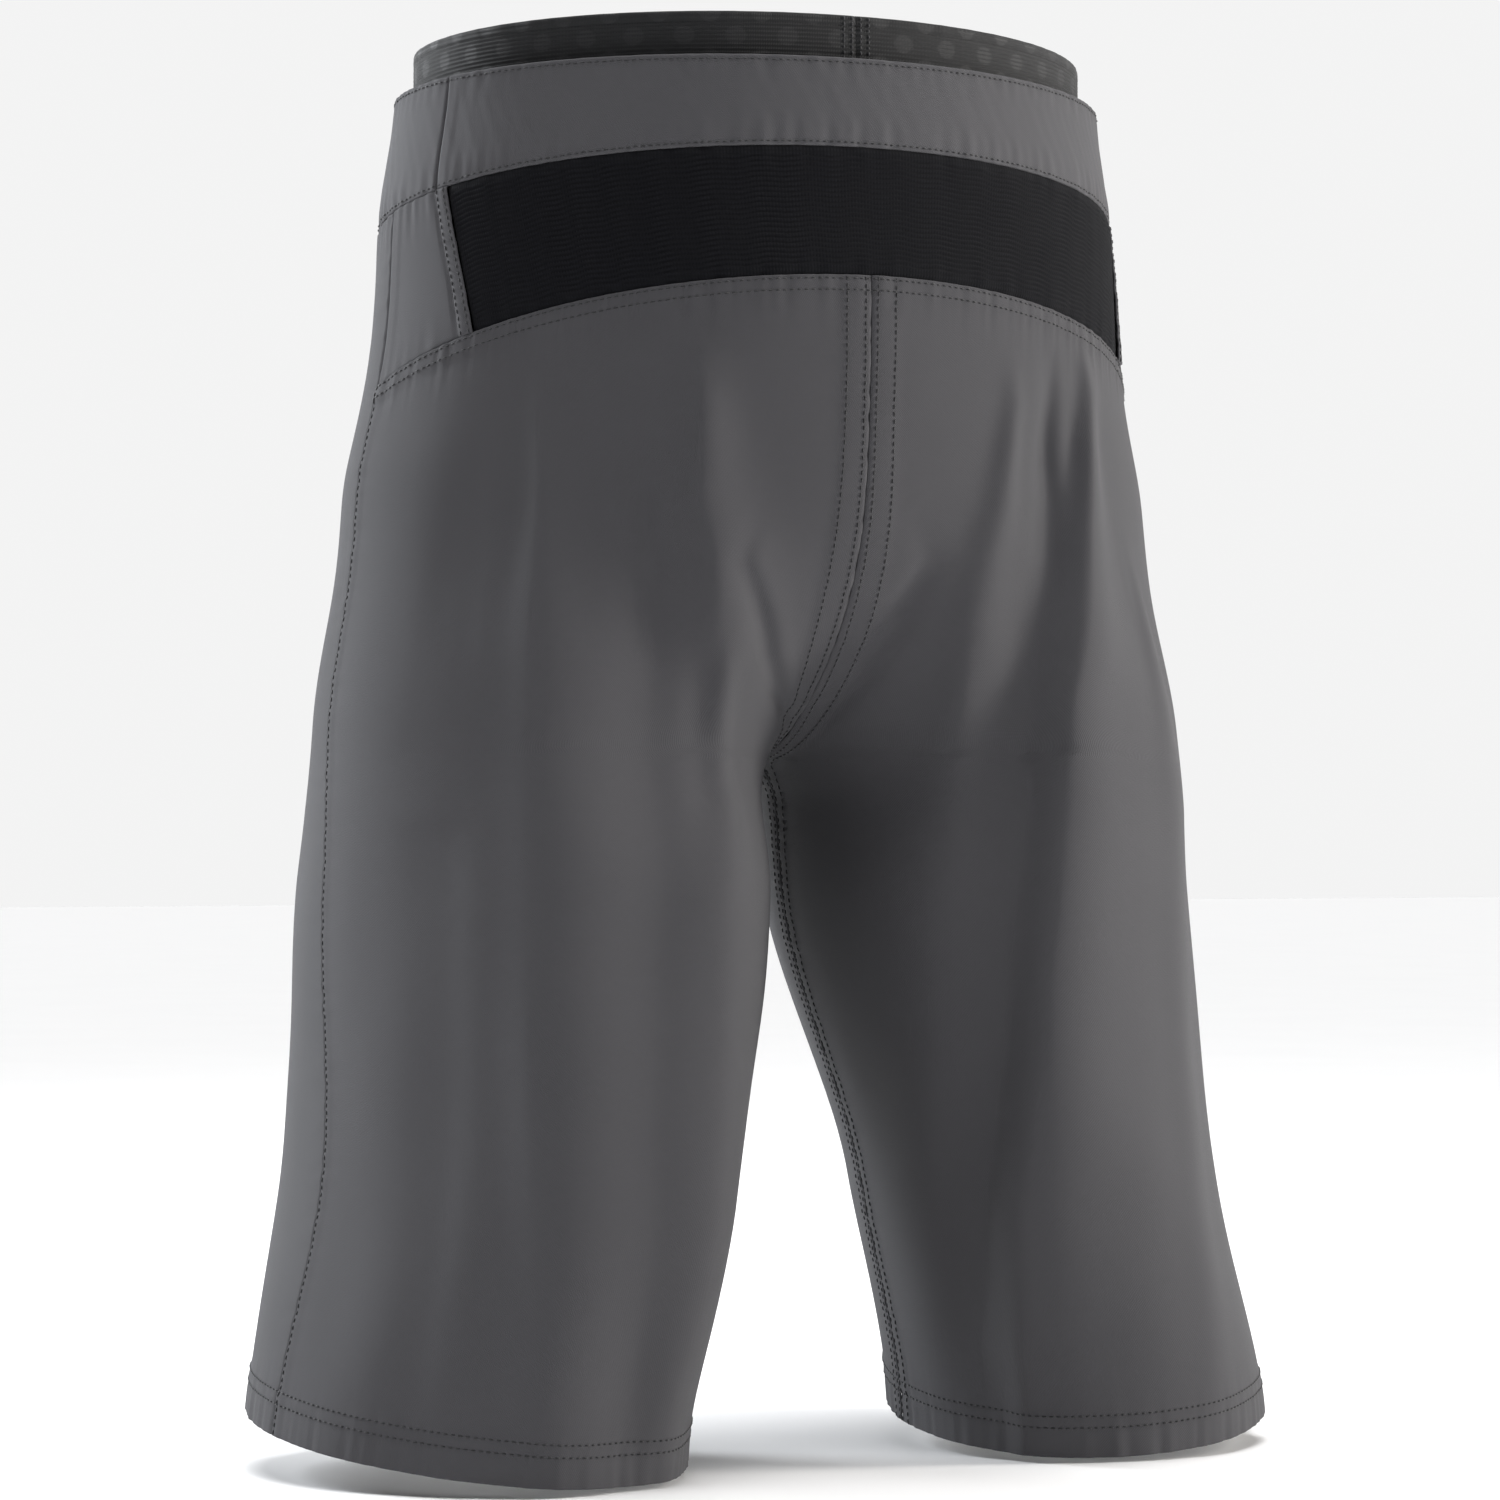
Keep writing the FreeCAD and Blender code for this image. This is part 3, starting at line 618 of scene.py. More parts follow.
def sheet(obj, panel, body, node, slot_name, held, rests_on, with_pieces=()):
    """Attach a cloth to its body and hide the CAD part it stands for."""
    piece(obj, body, node, slot_name)


def cloth(node, panel, thick, body, slot_name, held, rests_on, mirror=False, skip_round=(), **thread):
    """Mesh, attach and sew the cloth that stands for one CAD panel."""
    obj = cloth_mesh(node + "_cloth", panel, thick, mirror, skip_round)
    sheet(obj, panel, body, node, slot_name, held, [name + "_cloth" for name in rests_on])
    sew(panel, body, mirror, **thread)


def soft_floor(values, floor):
    """Keep a displacement above a floor, so cloth stays clear of what is under it."""
    return floor + np.logaddexp(0, (values - floor) * 2.2) / 2.2


DEEPEST_FOLD, DEEPEST_OVER_PAD = -4.6, -0.7     # the hip pads leave the shell little room


def shell_relief(panel, folds, side, seed):
    angle = leg_angle(outer_form, panel) * side
    away = np.minimum(panel.from_start, panel.from_end)
    field = fold_field(folds, angle, panel.z) + waves(angle * side, panel.z, seed) * smooth(away / 40)
    top = smooth(panel.from_high / 22)
    over_hip = smooth((64 - angle) / 12) * smooth((panel.z + 315) / 20) * smooth((-85 - panel.z) / 20)
    floor = mix(DEEPEST_FOLD, DEEPEST_OVER_PAD, over_hip)
    panel.raise_by += soft_floor(field * mix(0.25, 1.0, top), floor)


def hem(panel, seed):
    panel.lap("low", 18.5, 0.45)
    panel.groove("low", 12.4, 0.6, 0.24, True)
    panel.groove("low", 17.3, 0.7, 0.30, True)
    panel.pucker("low", 16, 0.35, seed)


# Back leg panels.
for name, mirror, hand in LEFT_RIGHT:
    panel = leg_cloth(outer_form, 1, closed_centre, HEM, YOKE)
    shell_relief(panel, BACK_FOLDS[hand], 1, 20 + hand)
    panel.seam("high", lap=(7.6, 0.55), rows=(1.5, 6.0), depth=0.16, pucker=(14, 0.30, 31 + hand))
    panel.seam("end", lap=(9.0, 0.45), closing=(0.7, 0.55), rows=(1.8, 7.6), depth=0.18,
               pucker=(12, 0.28, 41 + hand))
    panel.seam("start", lap=(5.0, 0.40), closing=(0.6, 0.5), rows=(1.6,), depth=0.15,
               pucker=(9, 0.22, 51 + hand))
    hem(panel, 61 + hand)
    cloth("back_panel_" + name, panel, SHELL_THICK, "outer_short", "shell_cloth", "hung",
          ["back_stretch_panel", "side_yoke_" + name], mirror, ("start",))

# Front leg panels, attached to their body further down, once their trims are made.
front_panels, front_trims = {}, {"left": [], "right": []}
for name, mirror, hand in LEFT_RIGHT:
    panel = leg_cloth(outer_form, -1, fly_edge, HEM, BAND_BOTTOM)
    shell_relief(panel, FRONT_FOLDS[hand], -1, 20 + hand)
    panel.groove("high", 0.2, 0.5, 0.35)
    panel.seam("high", tuck=(1.2, 0.35), pucker=(14, 0.28, 71 + hand))
    panel.seam("start", closing=(0.6, 0.5), pucker=(9, 0.22, 51 + hand))
    panel.seam("end", lap=(8.0, 0.45), rows=(1.8, 6.8), depth=0.18, pucker=(12, 0.25, 81 + hand))
    hem(panel, 91 + hand)
    front_panels[name] = cloth_mesh("front_panel_" + name + "_cloth", panel, SHELL_THICK, mirror,
                                    ("start",)), panel
    sew(panel, "outer_short", mirror)

# Back stretch panel, ribbed across.
RIB_PITCH, RIB_HEIGHT = 2.0, 0.28
panel = Panel(torso_part(outer_form, stretch_edge, lambda z: 180 - stretch_edge(z)),
              YOKE, BAND_BOTTOM, pitch=0.42, across=2.4)
chevron = 0.9 * np.abs((panel.u / 9.0) % 2 - 1)
rib = np.sin(2 * np.pi * (panel.from_low + chevron) / RIB_PITCH)
panel.raise_by += RIB_HEIGHT * rib * smooth(rim_distance(panel) / 3.0)
slow = waves(np.degrees(np.arctan2(panel.y, panel.x)), panel.z, 7)
panel.raise_by += 0.8 * slow * smooth(panel.from_high / 25) * smooth(panel.from_low / 25)
for edge in EDGES:
    panel.tuck(edge, 2.5, 0.5)
panel.pucker("high", 9, 0.22, 5)
panel.pucker("low", 9, 0.25, 6)
cloth("back_stretch_panel", panel, SHELL_THICK, "outer_short", "stretch_rib", "stretched",
      ["waistband_back"])

# Side yokes, each with a folded edging strip beside the stretch panel.
STRIP = 6.0
for name, mirror, hand in LEFT_RIGHT:
    panel = Panel(torso_part(outer_form, all_round(SIDE_SEAM_ANGLE), stretch_edge),
                  YOKE, BAND_BOTTOM, pitch=1.6)
    panel.groove("end", STRIP + 1.0, 0.8, 0.7)
    panel.groove("end", 1.4, 0.5, 0.15)
    panel.rows = [("end", 1.6), ("end", STRIP - 0.6)]
    panel.seam("end", lap=(STRIP, 0.85), pucker=(8, 0.2, 12 + hand))
    panel.seam("start", lap=(7.0, 0.35), closing=(0.6, 0.5))
    panel.seam("low", tuck=(1.2, 0.35), pucker=(9, 0.22, 11 + hand))
    panel.seam("high", tuck=(1.2, 0.35), pucker=(12, 0.28, 13 + hand))
    slow = waves(leg_angle(outer_form, panel), panel.z, 15 + hand)
    panel.raise_by += 0.7 * slow * smooth(panel.from_high / 20)
    cloth("side_yoke_" + name, panel, SHELL_THICK, "outer_short", "shell_cloth", "stretched",
          ["waistband_back"], mirror)


# Outer waistband.
def band_relief(panel, seed, mirror=False):
    panel.seam("low", rows=(1.6,), depth=0.22, pucker=(10, 0.34, seed))
    panel.seam("high", rows=(2.0,), depth=0.20, pucker=(8, 0.26, seed + 1))
    panel.raise_by += 0.35 * smooth(panel.from_low / 9) * smooth(panel.from_high / 9)
    slant = panel.u + 0.55 * panel.from_low
    panel.raise_by += puckers(slant, np.abs(panel.from_low - 20), 22, 0.07, seed + 2)
    sew(panel, "outer_short", mirror)


panel = Panel(torso_part(outer_form, all_round(BAND_SEAM_ANGLE), all_round(180 - BAND_SEAM_ANGLE)),
              BAND_BOTTOM, WAIST_TOP, pitch=1.2)
band_relief(panel, 100)
for edge in ("start", "end"):
    panel.seam(edge, lap=(7.0, 0.3), closing=(0.8, 0.6))
cloth("waistband_back", panel, BAND_THICK, "outer_short", "waistband_cloth", "stretched",
      ["liner_waistband"])
fly_angle = math.degrees(math.acos(FLY_GAP / TORSO[0][0]))
for name, mirror, hand in LEFT_RIGHT:
    panel = Panel(torso_part(outer_form, all_round(-fly_angle), all_round(BAND_SEAM_ANGLE - 0.15)),
                  BAND_BOTTOM, WAIST_TOP, pitch=1.2)
    band_relief(panel, 111 if mirror else 110, mirror)
    panel.seam("end", closing=(0.8, 0.6))
    panel.seam("start", rows=(2.0,))
    cloth("waistband_front_" + name, panel, BAND_THICK, "outer_short", "waistband_cloth", "stretched",
          ["waistband_back"], mirror)


# Waist tab and its sewn root.
def front_strip(x0, x1):
    def point(s, z):
        half = outer_form.torso[0](z)
        return outer_form.torso_point(-np.degrees(np.arccos(mix(x0, x1, s) / half)), z)
    return point


TAB_TOP, TAB_LOW = (-1.0, 0.0, 0.0), (-50.0, 0.14, 0.0)
TAB_RAISE = 4.1         # outer face over the band's, with the snaps between them
for stem, x0, x1, body in (("waist_tab", -36.0, 15.0, "waist_tab"),
                           ("waist_tab_base", 15.3, 28.0, "outer_short")):
    panel = Panel(front_strip(x0, x1), TAB_LOW, TAB_TOP, pitch=1.2)
    panel.raise_by += TAB_RAISE
    for edge in ("low", "high"):
        panel.seam(edge, rows=(2.2,), depth=0.22)
        sew(panel, body)
    if stem == "waist_tab":
        panel.seam("start", rows=(2.2,), depth=0.22)
        sew(panel, body)
        panel.raise_by += 0.25 * smooth(panel.from_low / 9) * smooth(panel.from_high / 9)
    else:
        for at in (2.0, 9.5):
            panel.seam("end", rows=(at,), depth=0.22)
            sew(panel, body)
    cloth(stem, panel, 1.8, body, "waistband_cloth", "stretched", ["waistband_front_left"])


# Fly: tapes and guard; the teeth, slider and stops are carried over from CAD.
def chain_frame():
    """Where the zip chain starts, its three directions and its length."""
    def front(z):
        return lift(0.0, -float(outer_form.torso[2](z)), z)
    top, end = front(FLY_TOP), front(FLY_END)
    up = top - end
    length = np.linalg.norm(up)
    y = up / length
    z = np.cross([1.0, 0.0, 0.0], y)
    z /= np.linalg.norm(z)
    x = np.cross(y, z)
    return top - z * CHAIN_DEPTH, x, y, z, length


origin, axis_x, axis_y, axis_z, chain_length = chain_frame()


def chain_strip(x0, x1, y0, y1, z):
    def base(s, t):
        return (origin + mix(x0, x1, s)[..., None] * axis_x + mix(y0, y1, t)[..., None] * axis_y
                + z * axis_z)
    return base


for name, sign in (("left", 1), ("right", -1)):
    x0, x1 = sorted((sign * 2.7, sign * 11.7))
    panel = FlatPanel(chain_strip(x0, x1, -chain_length - 2, -0.6, 0.28), 9.0, chain_length + 1.4,
                      0.5, 0.5)
    panel.raise_by += 0.05 * np.sin(2 * np.pi * panel.v / 1.1) * np.sin(2 * np.pi * panel.u / 1.3)
    obj = cloth_mesh("fly_tape_" + name + "_cloth", panel, 0.5)
    front_trims[name].append(piece(obj, "outer_short", "fly_tape_" + name, "zip_tape"))
    panel.rows = [("end" if sign > 0 else "start", 2.0)]
    sew(panel, "outer_short")
panel = FlatPanel(chain_strip(-22, 22, -chain_length - 6, -2, -4.0), 44.0, chain_length + 4, 2.0)
panel.raise_by -= 0.15 * np.abs(np.sin(2 * np.pi * panel.v / 31 + 0.6))
for edge in ("start", "low"):
    panel.seam(edge, rows=(2.0,), depth=0.15)
    sew(panel, "outer_short")
cloth("fly_guard", panel, 0.85, "outer_short", "shell_cloth", "laid", ["front_panel_left"])

# Hand pockets: lining bag behind the panel, sewn welt at its mouth.
for name, mirror, hand in LEFT_RIGHT:
    panel = FlatPanel(squircle(outer_form.leg_point, (-66, -32), (-225, -80)), 51.0, 145.0, 2.5)
    panel.raise_by += -2.0 + 0.2 * np.sin(panel.v / 9.0 + hand) * np.sin(panel.u / 11.0)
    for edge in ("start", "end", "low"):
        panel.groove(edge, 3.0, 0.6, 0.3, True)
    cloth("pocket_bag_" + name, panel, 1.5, "outer_short", "pocket_lining", "hung",
          ["front_panel_" + name], mirror)
    panel = FlatPanel(squircle(outer_form.leg_point, (-33, -29), (-190, -85), 0.1), 6.5, 105.0, 1.5, 0.7)
    panel.raise_by += 1.1
    obj = cloth_mesh("pocket_welt_" + name + "_cloth", panel, 0.9, mirror)
    front_trims[name].append(piece(obj, "outer_short", "pocket_welt_" + name, "shell_cloth"))
    panel.rows = [("start", 1.3), ("end", 1.3)]
    sew(panel, "outer_short", mirror, pitch=2.2, length=1.7)
    sheet(*front_panels[name], "outer_short", "front_panel_" + name, "shell_cloth", "hung",
          ["waistband_front_" + name + "_cloth", "side_yoke_" + name + "_cloth"], front_trims[name])

# ---- the liner -----------------------------------------------------------------------
LINER_TOP, LINER_LOW, LINER_END = (LINER_BAND[0], 0, 0), (LINER_BAND[1], 0, 0), (LINER_HEM, 0, 0)
GRIPPER_GIRTH = 500.0
panel = Panel(torso_part(liner_form, all_round(90.003), all_round(449.997)), LINER_LOW, LINER_TOP,
              pitch=0.42, across=2.4)
body = smooth(np.minimum(panel.from_low, panel.from_high) / 2.0)
panel.raise_by += 0.16 * np.sin(2 * np.pi * panel.from_low / 1.7) * body
panel.groove("low", 43.5, 0.5, 0.2)
panel.seam("low", rows=(4.5,), pucker=(9, 0.25, 201))
panel.pucker("high", 6, 0.15, 202)
for edge in ("start", "end"):
    panel.seam(edge, closing=(0.9, 0.5))
    panel.rows += [(edge, 1.6), (edge, 4.6)]
cloth("liner_waistband", panel, 1.6, "liner", "liner_elastic", "stretched",
      ["liner_back_left", "liner_back_right"], skip_round=("start", "end"), pitch=2.4, length=1.8)


def gripper(s, t):
    z = mix(LINER_HEM - 0.3 - GRIPPER_HEIGHT, LINER_HEM - 0.3, t)
    return lift(*liner_form.leg_point(mix(-179.7, 179.7, s), z), z)


for name, mirror, hand in LEFT_RIGHT:
    for stem, side in (("liner_back_", 1), ("liner_front_", -1)):
        panel = leg_cloth(liner_form, side, closed_centre, LINER_END, LINER_LOW, pitch=2.6)
        slow = waves(leg_angle(liner_form, panel), panel.z, 210 + hand)
        panel.raise_by += 0.35 * slow * smooth(rim_distance(panel, ("start", "end")) / 30) - 0.35
        for edge in ("start", "end"):
            panel.seam(edge, closing=(0.6, 0.4), pucker=(8, 0.18, 220 + hand + side))
            panel.rows += [(edge, 1.2), (edge, 3.2)]
        cloth(stem + name, panel, LINER_THICK, "liner", "liner_mesh", "stretched", ["liner_waistband"],
              mirror, pitch=2.6, length=1.9)
    panel = FlatPanel(gripper, GRIPPER_GIRTH, GRIPPER_HEIGHT, 0.5, 2.6)
    line = np.sin(2 * np.pi * panel.v / 1.9)
    panel.raise_by += 0.12 * line * smooth(rim_distance(panel, ("low", "high")) / 2)
    panel.seam("high", rows=(2.0,))
    cloth("liner_gripper_" + name, panel, 1.1, "liner", "gripper", "stretched",
          ["liner_back_" + name, "liner_front_" + name], mirror, pitch=2.6, length=1.9)


# ---- pads: foam under knit, puffed by a short cloth simulation ------------------------
PUFF_VOXEL, PUFF_PRESSURE, PUFF_FRAMES = 0.0022, 3.0, 14


def puff(obj, reach):
    """Swell a closed pad under pressure, no point moving further than reach."""
    bpy.context.view_layer.objects.active = obj
    remesh = obj.modifiers.new("Remesh", "REMESH")
    remesh.mode = "VOXEL"
    remesh.voxel_size = PUFF_VOXEL
    remesh.use_smooth_shade = True
    apply_modifiers(obj)
    before = read_points(obj)
    cloth = obj.modifiers.new("Cloth", "CLOTH")
    cloth.settings.quality = 4
    cloth.settings.use_pressure = True
    cloth.settings.uniform_pressure_force = PUFF_PRESSURE
    cloth.settings.effector_weights.gravity = 0
    cloth.settings.mass = 0.3
    cloth.point_cache.frame_start, cloth.point_cache.frame_end = 1, PUFF_FRAMES
    scene = bpy.context.scene
    for frame_number in range(1, PUFF_FRAMES + 1):
        scene.frame_set(frame_number)
    apply_modifiers(obj)
    scene.frame_set(1)
    step = read_points(obj) - before
    far = np.linalg.norm(step, axis=1, keepdims=True)
    step *= np.minimum(1.0, reach / np.maximum(far, 1e-9))
    obj.data.vertices.foreach_set("co", (before + step).astype(np.float32).ravel())
    finer = obj.modifiers.new("Subdivision", "SUBSURF")
    finer.levels = finer.render_levels = 1
    apply_modifiers(obj)
    obj.data.polygons.foreach_set("use_smooth", [True] * len(obj.data.polygons))
    obj.data.update()


def read_points(obj):
    out = np.empty(len(obj.data.vertices) * 3, np.float32)
    obj.data.vertices.foreach_get("co", out)
    return out.reshape(-1, 3).astype(float)


def apply_modifiers(obj):
    graph = bpy.context.evaluated_depsgraph_get()
    mesh = bpy.data.meshes.new_from_object(obj.evaluated_get(graph))
    obj.modifiers.clear()
    old = obj.data
    obj.data = mesh
    bpy.data.meshes.remove(old)


def padded(obj, node, slot_name, reach):
    puff(obj, reach)
    piece(obj, "liner", node, slot_name)


PAD_LOW, PAD_THICK = 0.35, 7.4      # over the liner: inner face, and height at the crown


def foam_pad(node, form_point, angles, heights, size, cells, mirror=False):
    """Foam pad: crowned, thin at its rim and cut by channels into cells."""
    panel = FlatPanel(squircle(form_point, angles, heights), *size, 1.6)
    a, b = 2 * panel.u / size[0] - 1, 2 * panel.v / size[1] - 1
    rim = rim_distance(panel)
    crown = 1 - 0.10 * (a * a + b * b)
    channel = np.zeros_like(a)
    for count, coord, length in zip(cells, (panel.u, panel.v), size):
        for i in range(1, count):
            channel = np.maximum(channel, np.exp(-((coord - length * i / count) / 2.0) ** 2))
    channel *= smooth((rim - 6) / 6)
    top = PAD_LOW + 1.0 + (PAD_THICK - 1.0) * round_over(rim, 7.0) * crown - 3.0 * channel
    verts, faces = closed_grids(panel.base + panel.normal * top[..., None],
                                panel.base + panel.normal * PAD_LOW)
    if mirror:
        verts, faces = verts * np.array([-1, 1, 1]), faces[:, ::-1]
    uv = np.stack([panel.u, panel.v, 0 * panel.u], -1).reshape(-1, 3)
    obj = mesh_object(node + "_foam", verts, faces.tolist(), {"cloth": np.concatenate([uv, uv])})
    padded(obj, node, "impact_foam", 0.0007)


# Each pad: angles, heights, size laid flat, cells across and up.
PADS = (("hip_pad", (-20, 50), (-285, -130), (112.0, 158.0), (3, 4)),
        ("thigh_pad", (-30, 50), (-430, -298), (112.0, 132.0), (3, 3)),
        ("seat_pad", (58, 108), (-248, -160), (78.0, 90.0), (2, 2)))
for stem, *shape in PADS:
    for name, mirror, hand in LEFT_RIGHT:
        foam_pad(stem + "_" + name, liner_form.leg_point, *shape, mirror)
foam_pad("tailbone_pad", liner_form.torso_point, (72, 108), (-148, -78), (66.0, 72.0), (2, 2))

CROTCH_Z = -256.55      # of the liner, where its two legs meet
CHAMOIS_HALF, CHAMOIS_LENGTH, CHAMOIS_RISE = 30.0, 300.0, 70.0


def chamois_pad():
    """Crotch pad inside the liner, following its centre line from front to back."""
    t = np.linspace(0, 1, 101)
    centre_z = CROTCH_Z + CHAMOIS_RISE
    centre_y = float(liner_form.legs[1](np.array(centre_z)))
    swing = np.radians(mix(-72.0, 78.0, t))
    dy, dz = np.sin(swing), -np.cos(swing)
    low, high = np.ones_like(t), np.full_like(t, RAY_REACH)
    for _ in range(BISECTIONS):
        r = (low + high) / 2
        z = centre_z + r * dz
        hit = liner_form.inside(0 * r, centre_y + r * dy, z, liner_form.slices(z)) < 0
        low, high = np.where(hit, r, low), np.where(hit, high, r)
    half = CHAMOIS_HALF * (0.75 + 0.25 * np.cos(2 * (swing - 0.2)))
    s = np.linspace(-1, 1, 41)
    x = s[None, :] * half[:, None]
    to_end = np.minimum(t, 1 - t) * CHAMOIS_LENGTH
    rim = np.minimum((1 - np.abs(s))[None, :] * half[:, None], to_end[:, None])
    channel = np.exp(-((np.abs(s)[None, :] - 0.42) * half[:, None] / 1.8) ** 2) * smooth((rim - 4) / 5)
    sides = []
    for gap in (2.3, 3.3 + 5.6 * round_over(rim, 6.0) - 2.4 * channel):
        y = centre_y + (low[:, None] - gap) * dy[:, None]
        z = centre_z + (low[:, None] - gap) * dz[:, None]
        sides.append(lift(x, y + 0.003 * x * x, z))
    verts, faces = closed_grids(*sides)
    u, v = np.meshgrid(s * CHAMOIS_HALF, t * CHAMOIS_LENGTH)
    uv = np.stack([u, v, 0 * u], -1).reshape(-1, 3)
    return mesh_object("chamois_pad", verts, faces.tolist(), {"cloth": np.concatenate([uv, uv])})


padded(chamois_pad(), "chamois", "chamois", 0.0006)

for body, rows in seam_rows.items():
    obj = rows.make("stitching_" + body)
    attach(obj, body)


# ---- materials -----------------------------------------------------------------------
def add_node(tree, kind, inputs=None, **settings):
    """A node with its settings, and sockets given as values or as other nodes' outputs."""
    node = tree.nodes.new(kind)
    for key, value in settings.items():
        setattr(node, key, value)
    for key, value in (inputs or {}).items():
        if isinstance(value, bpy.types.NodeSocket):
            tree.links.new(value, node.inputs[key])
        else:
            node.inputs[key].default_value = value
    return node


class Nodes:
    """A material's node tree, built up from its procedural patterns."""

    def __init__(self, name, **shader):
        self.material = bpy.data.materials.new(name)
        self.material.use_nodes = True
        self.tree = self.material.node_tree
        self.shader = self.tree.nodes["Principled BSDF"]
        for key, value in shader.items():
            self.shader.inputs[key.replace("_", " ")].default_value = value

    def add(self, kind, inputs=None, **settings):
        return add_node(self.tree, kind, inputs, **settings)

    def math(self, operation, a, b):
        return self.add("ShaderNodeMath", {0: a, 1: b}, operation=operation).outputs[0]

    def cloth_at(self, scale):
        """Millimetres along and up the cut piece, times a scale."""
        where = self.add("ShaderNodeAttribute", attribute_name="cloth").outputs["Vector"]
        return self.add("ShaderNodeVectorMath", {0: where, 1: scale}, operation="MULTIPLY").outputs[0]

    def solid_at(self, scale):
        where = self.add("ShaderNodeTexCoord").outputs["Object"]
        return self.add("ShaderNodeVectorMath", {0: where, "Scale": scale}, operation="SCALE").outputs[0]

    def noise(self, vector, scale, detail=3.0, roughness=0.6):
        return self.add("ShaderNodeTexNoise", {"Vector": vector, "Scale": scale, "Detail": detail,
                                               "Roughness": roughness}).outputs["Fac"]

    def wave(self, vector, pitch, direction="X", distortion=0.0):
        node = self.add("ShaderNodeTexWave", {"Vector": vector, "Scale": math.pi / 10 / pitch,
                                              "Distortion": distortion, "Detail": 1.0},
                        bands_direction=direction)
        return node.outputs["Fac"]

    def spread(self, value, low, high):
        return self.add("ShaderNodeMapRange", {"Value": value, "To Min": low, "To Max": high}).outputs[0]

    def colour(self, dark, light, amount):
        node = self.add("ShaderNodeMix", {0: amount, 6: (*dark, 1), 7: (*light, 1)}, data_type="RGBA")
        self.tree.links.new(node.outputs[2], self.shader.inputs["Base Color"])
        return node.outputs[2]

    def rough(self, value):
        self.tree.links.new(value, self.shader.inputs["Roughness"])

    def bump(self, height, distance, strength=1.0):
        node = self.add("ShaderNodeBump", {"Height": height, "Distance": distance, "Strength": strength})
        if self.shader.inputs["Normal"].is_linked:
            self.tree.links.new(self.shader.inputs["Normal"].links[0].from_socket, node.inputs["Normal"])
        self.tree.links.new(node.outputs[0], self.shader.inputs["Normal"])


def shade(colour, factor):
    return tuple(c * factor for c in colour)


def woven(name, colour, thread):
    """Twill: diagonal threads, slubs, slow shade changes and a soft nap."""
    n = Nodes(name, Sheen_Weight=0.06, Sheen_Roughness=0.55, Specular_IOR_Level=0.28)
    diagonal = n.add("ShaderNodeMapping", {"Vector": n.cloth_at((1.0, 1.0, 1.0)),
                                           "Rotation": (0, 0, math.radians(58))}).outputs[0]
    twill = n.wave(diagonal, thread)
    cross = n.wave(diagonal, thread * 1.35, "Y")
    threads = n.math("MULTIPLY", twill, n.spread(cross, 0.55, 1.0))
    slub = n.noise(n.cloth_at((0.5, 3.2, 1.0)), 1.0, 4.0)
    slow = n.noise(n.cloth_at((0.018, 0.012, 1.0)), 1.0, 2.0)
    fleck = n.noise(n.cloth_at((2.4, 2.4, 1.0)), 1.0, 2.0, 0.8)
    amount = n.math("ADD", n.math("MULTIPLY", threads, 0.45), n.math("MULTIPLY", slub, 0.30))
    amount = n.math("ADD", amount, n.math("MULTIPLY", n.math("ADD", slow, fleck), 0.18))
    n.colour(shade(colour, 0.76), shade(colour, 1.24), amount)
    n.rough(n.spread(slub, 0.72, 0.86))
    n.bump(threads, 0.00012, 0.8)
    n.bump(slub, 0.000192, 0.5)
    return n.material


def knit(name, colour, wale, course, contrast, sheen=0.2, roughness=0.8, holes=0.0):
    """Knit: loops in columns and rows; holes opens it up to a mesh."""
    n = Nodes(name, Sheen_Weight=sheen, Sheen_Roughness=0.5, Specular_IOR_Level=0.14)
    flat = n.cloth_at((1.0, 1.0, 1.0))
    columns = n.wave(flat, wale, "X", 0.3)
    rows = n.wave(flat, course, "Y", 0.3)
    loops = n.math("MULTIPLY", n.spread(columns, 0.25, 1.0), n.spread(rows, 0.35, 1.0))
    slow = n.noise(n.cloth_at((0.03, 0.03, 1.0)), 1.0, 2.0)
    amount = n.math("ADD", n.math("MULTIPLY", loops, 0.75), n.math("MULTIPLY", slow, 0.3))
    n.colour(shade(colour, 1 - contrast - holes), shade(colour, 1 + contrast), amount)
    n.rough(n.spread(slow, roughness - 0.04, roughness + 0.10))
    n.bump(loops, 0.00016, 0.8)
    return n.material


def grained(name, colour, shading, grain, tones, rough, bump, **shader):
    """Hard surface or thread: one noise shades it and another roughens it."""
    n = Nodes(name, **shader)
    place = n.solid_at(1000.0)
    fine = n.noise(place, *grain)
    n.colour(shade(colour, tones[0]), shade(colour, tones[1]), n.noise(place, *shading))
    n.rough(n.spread(fine, *rough))
    n.bump(fine, *bump)
    return n.material


def thread_material(name, colour):
    return grained(name, colour, (1.4, 2.0), (1.4, 2.0), (0.75, 1.25), (0.5, 0.7), (0.00005, 1.0),
                   Sheen_Weight=0.15, Specular_IOR_Level=0.35)


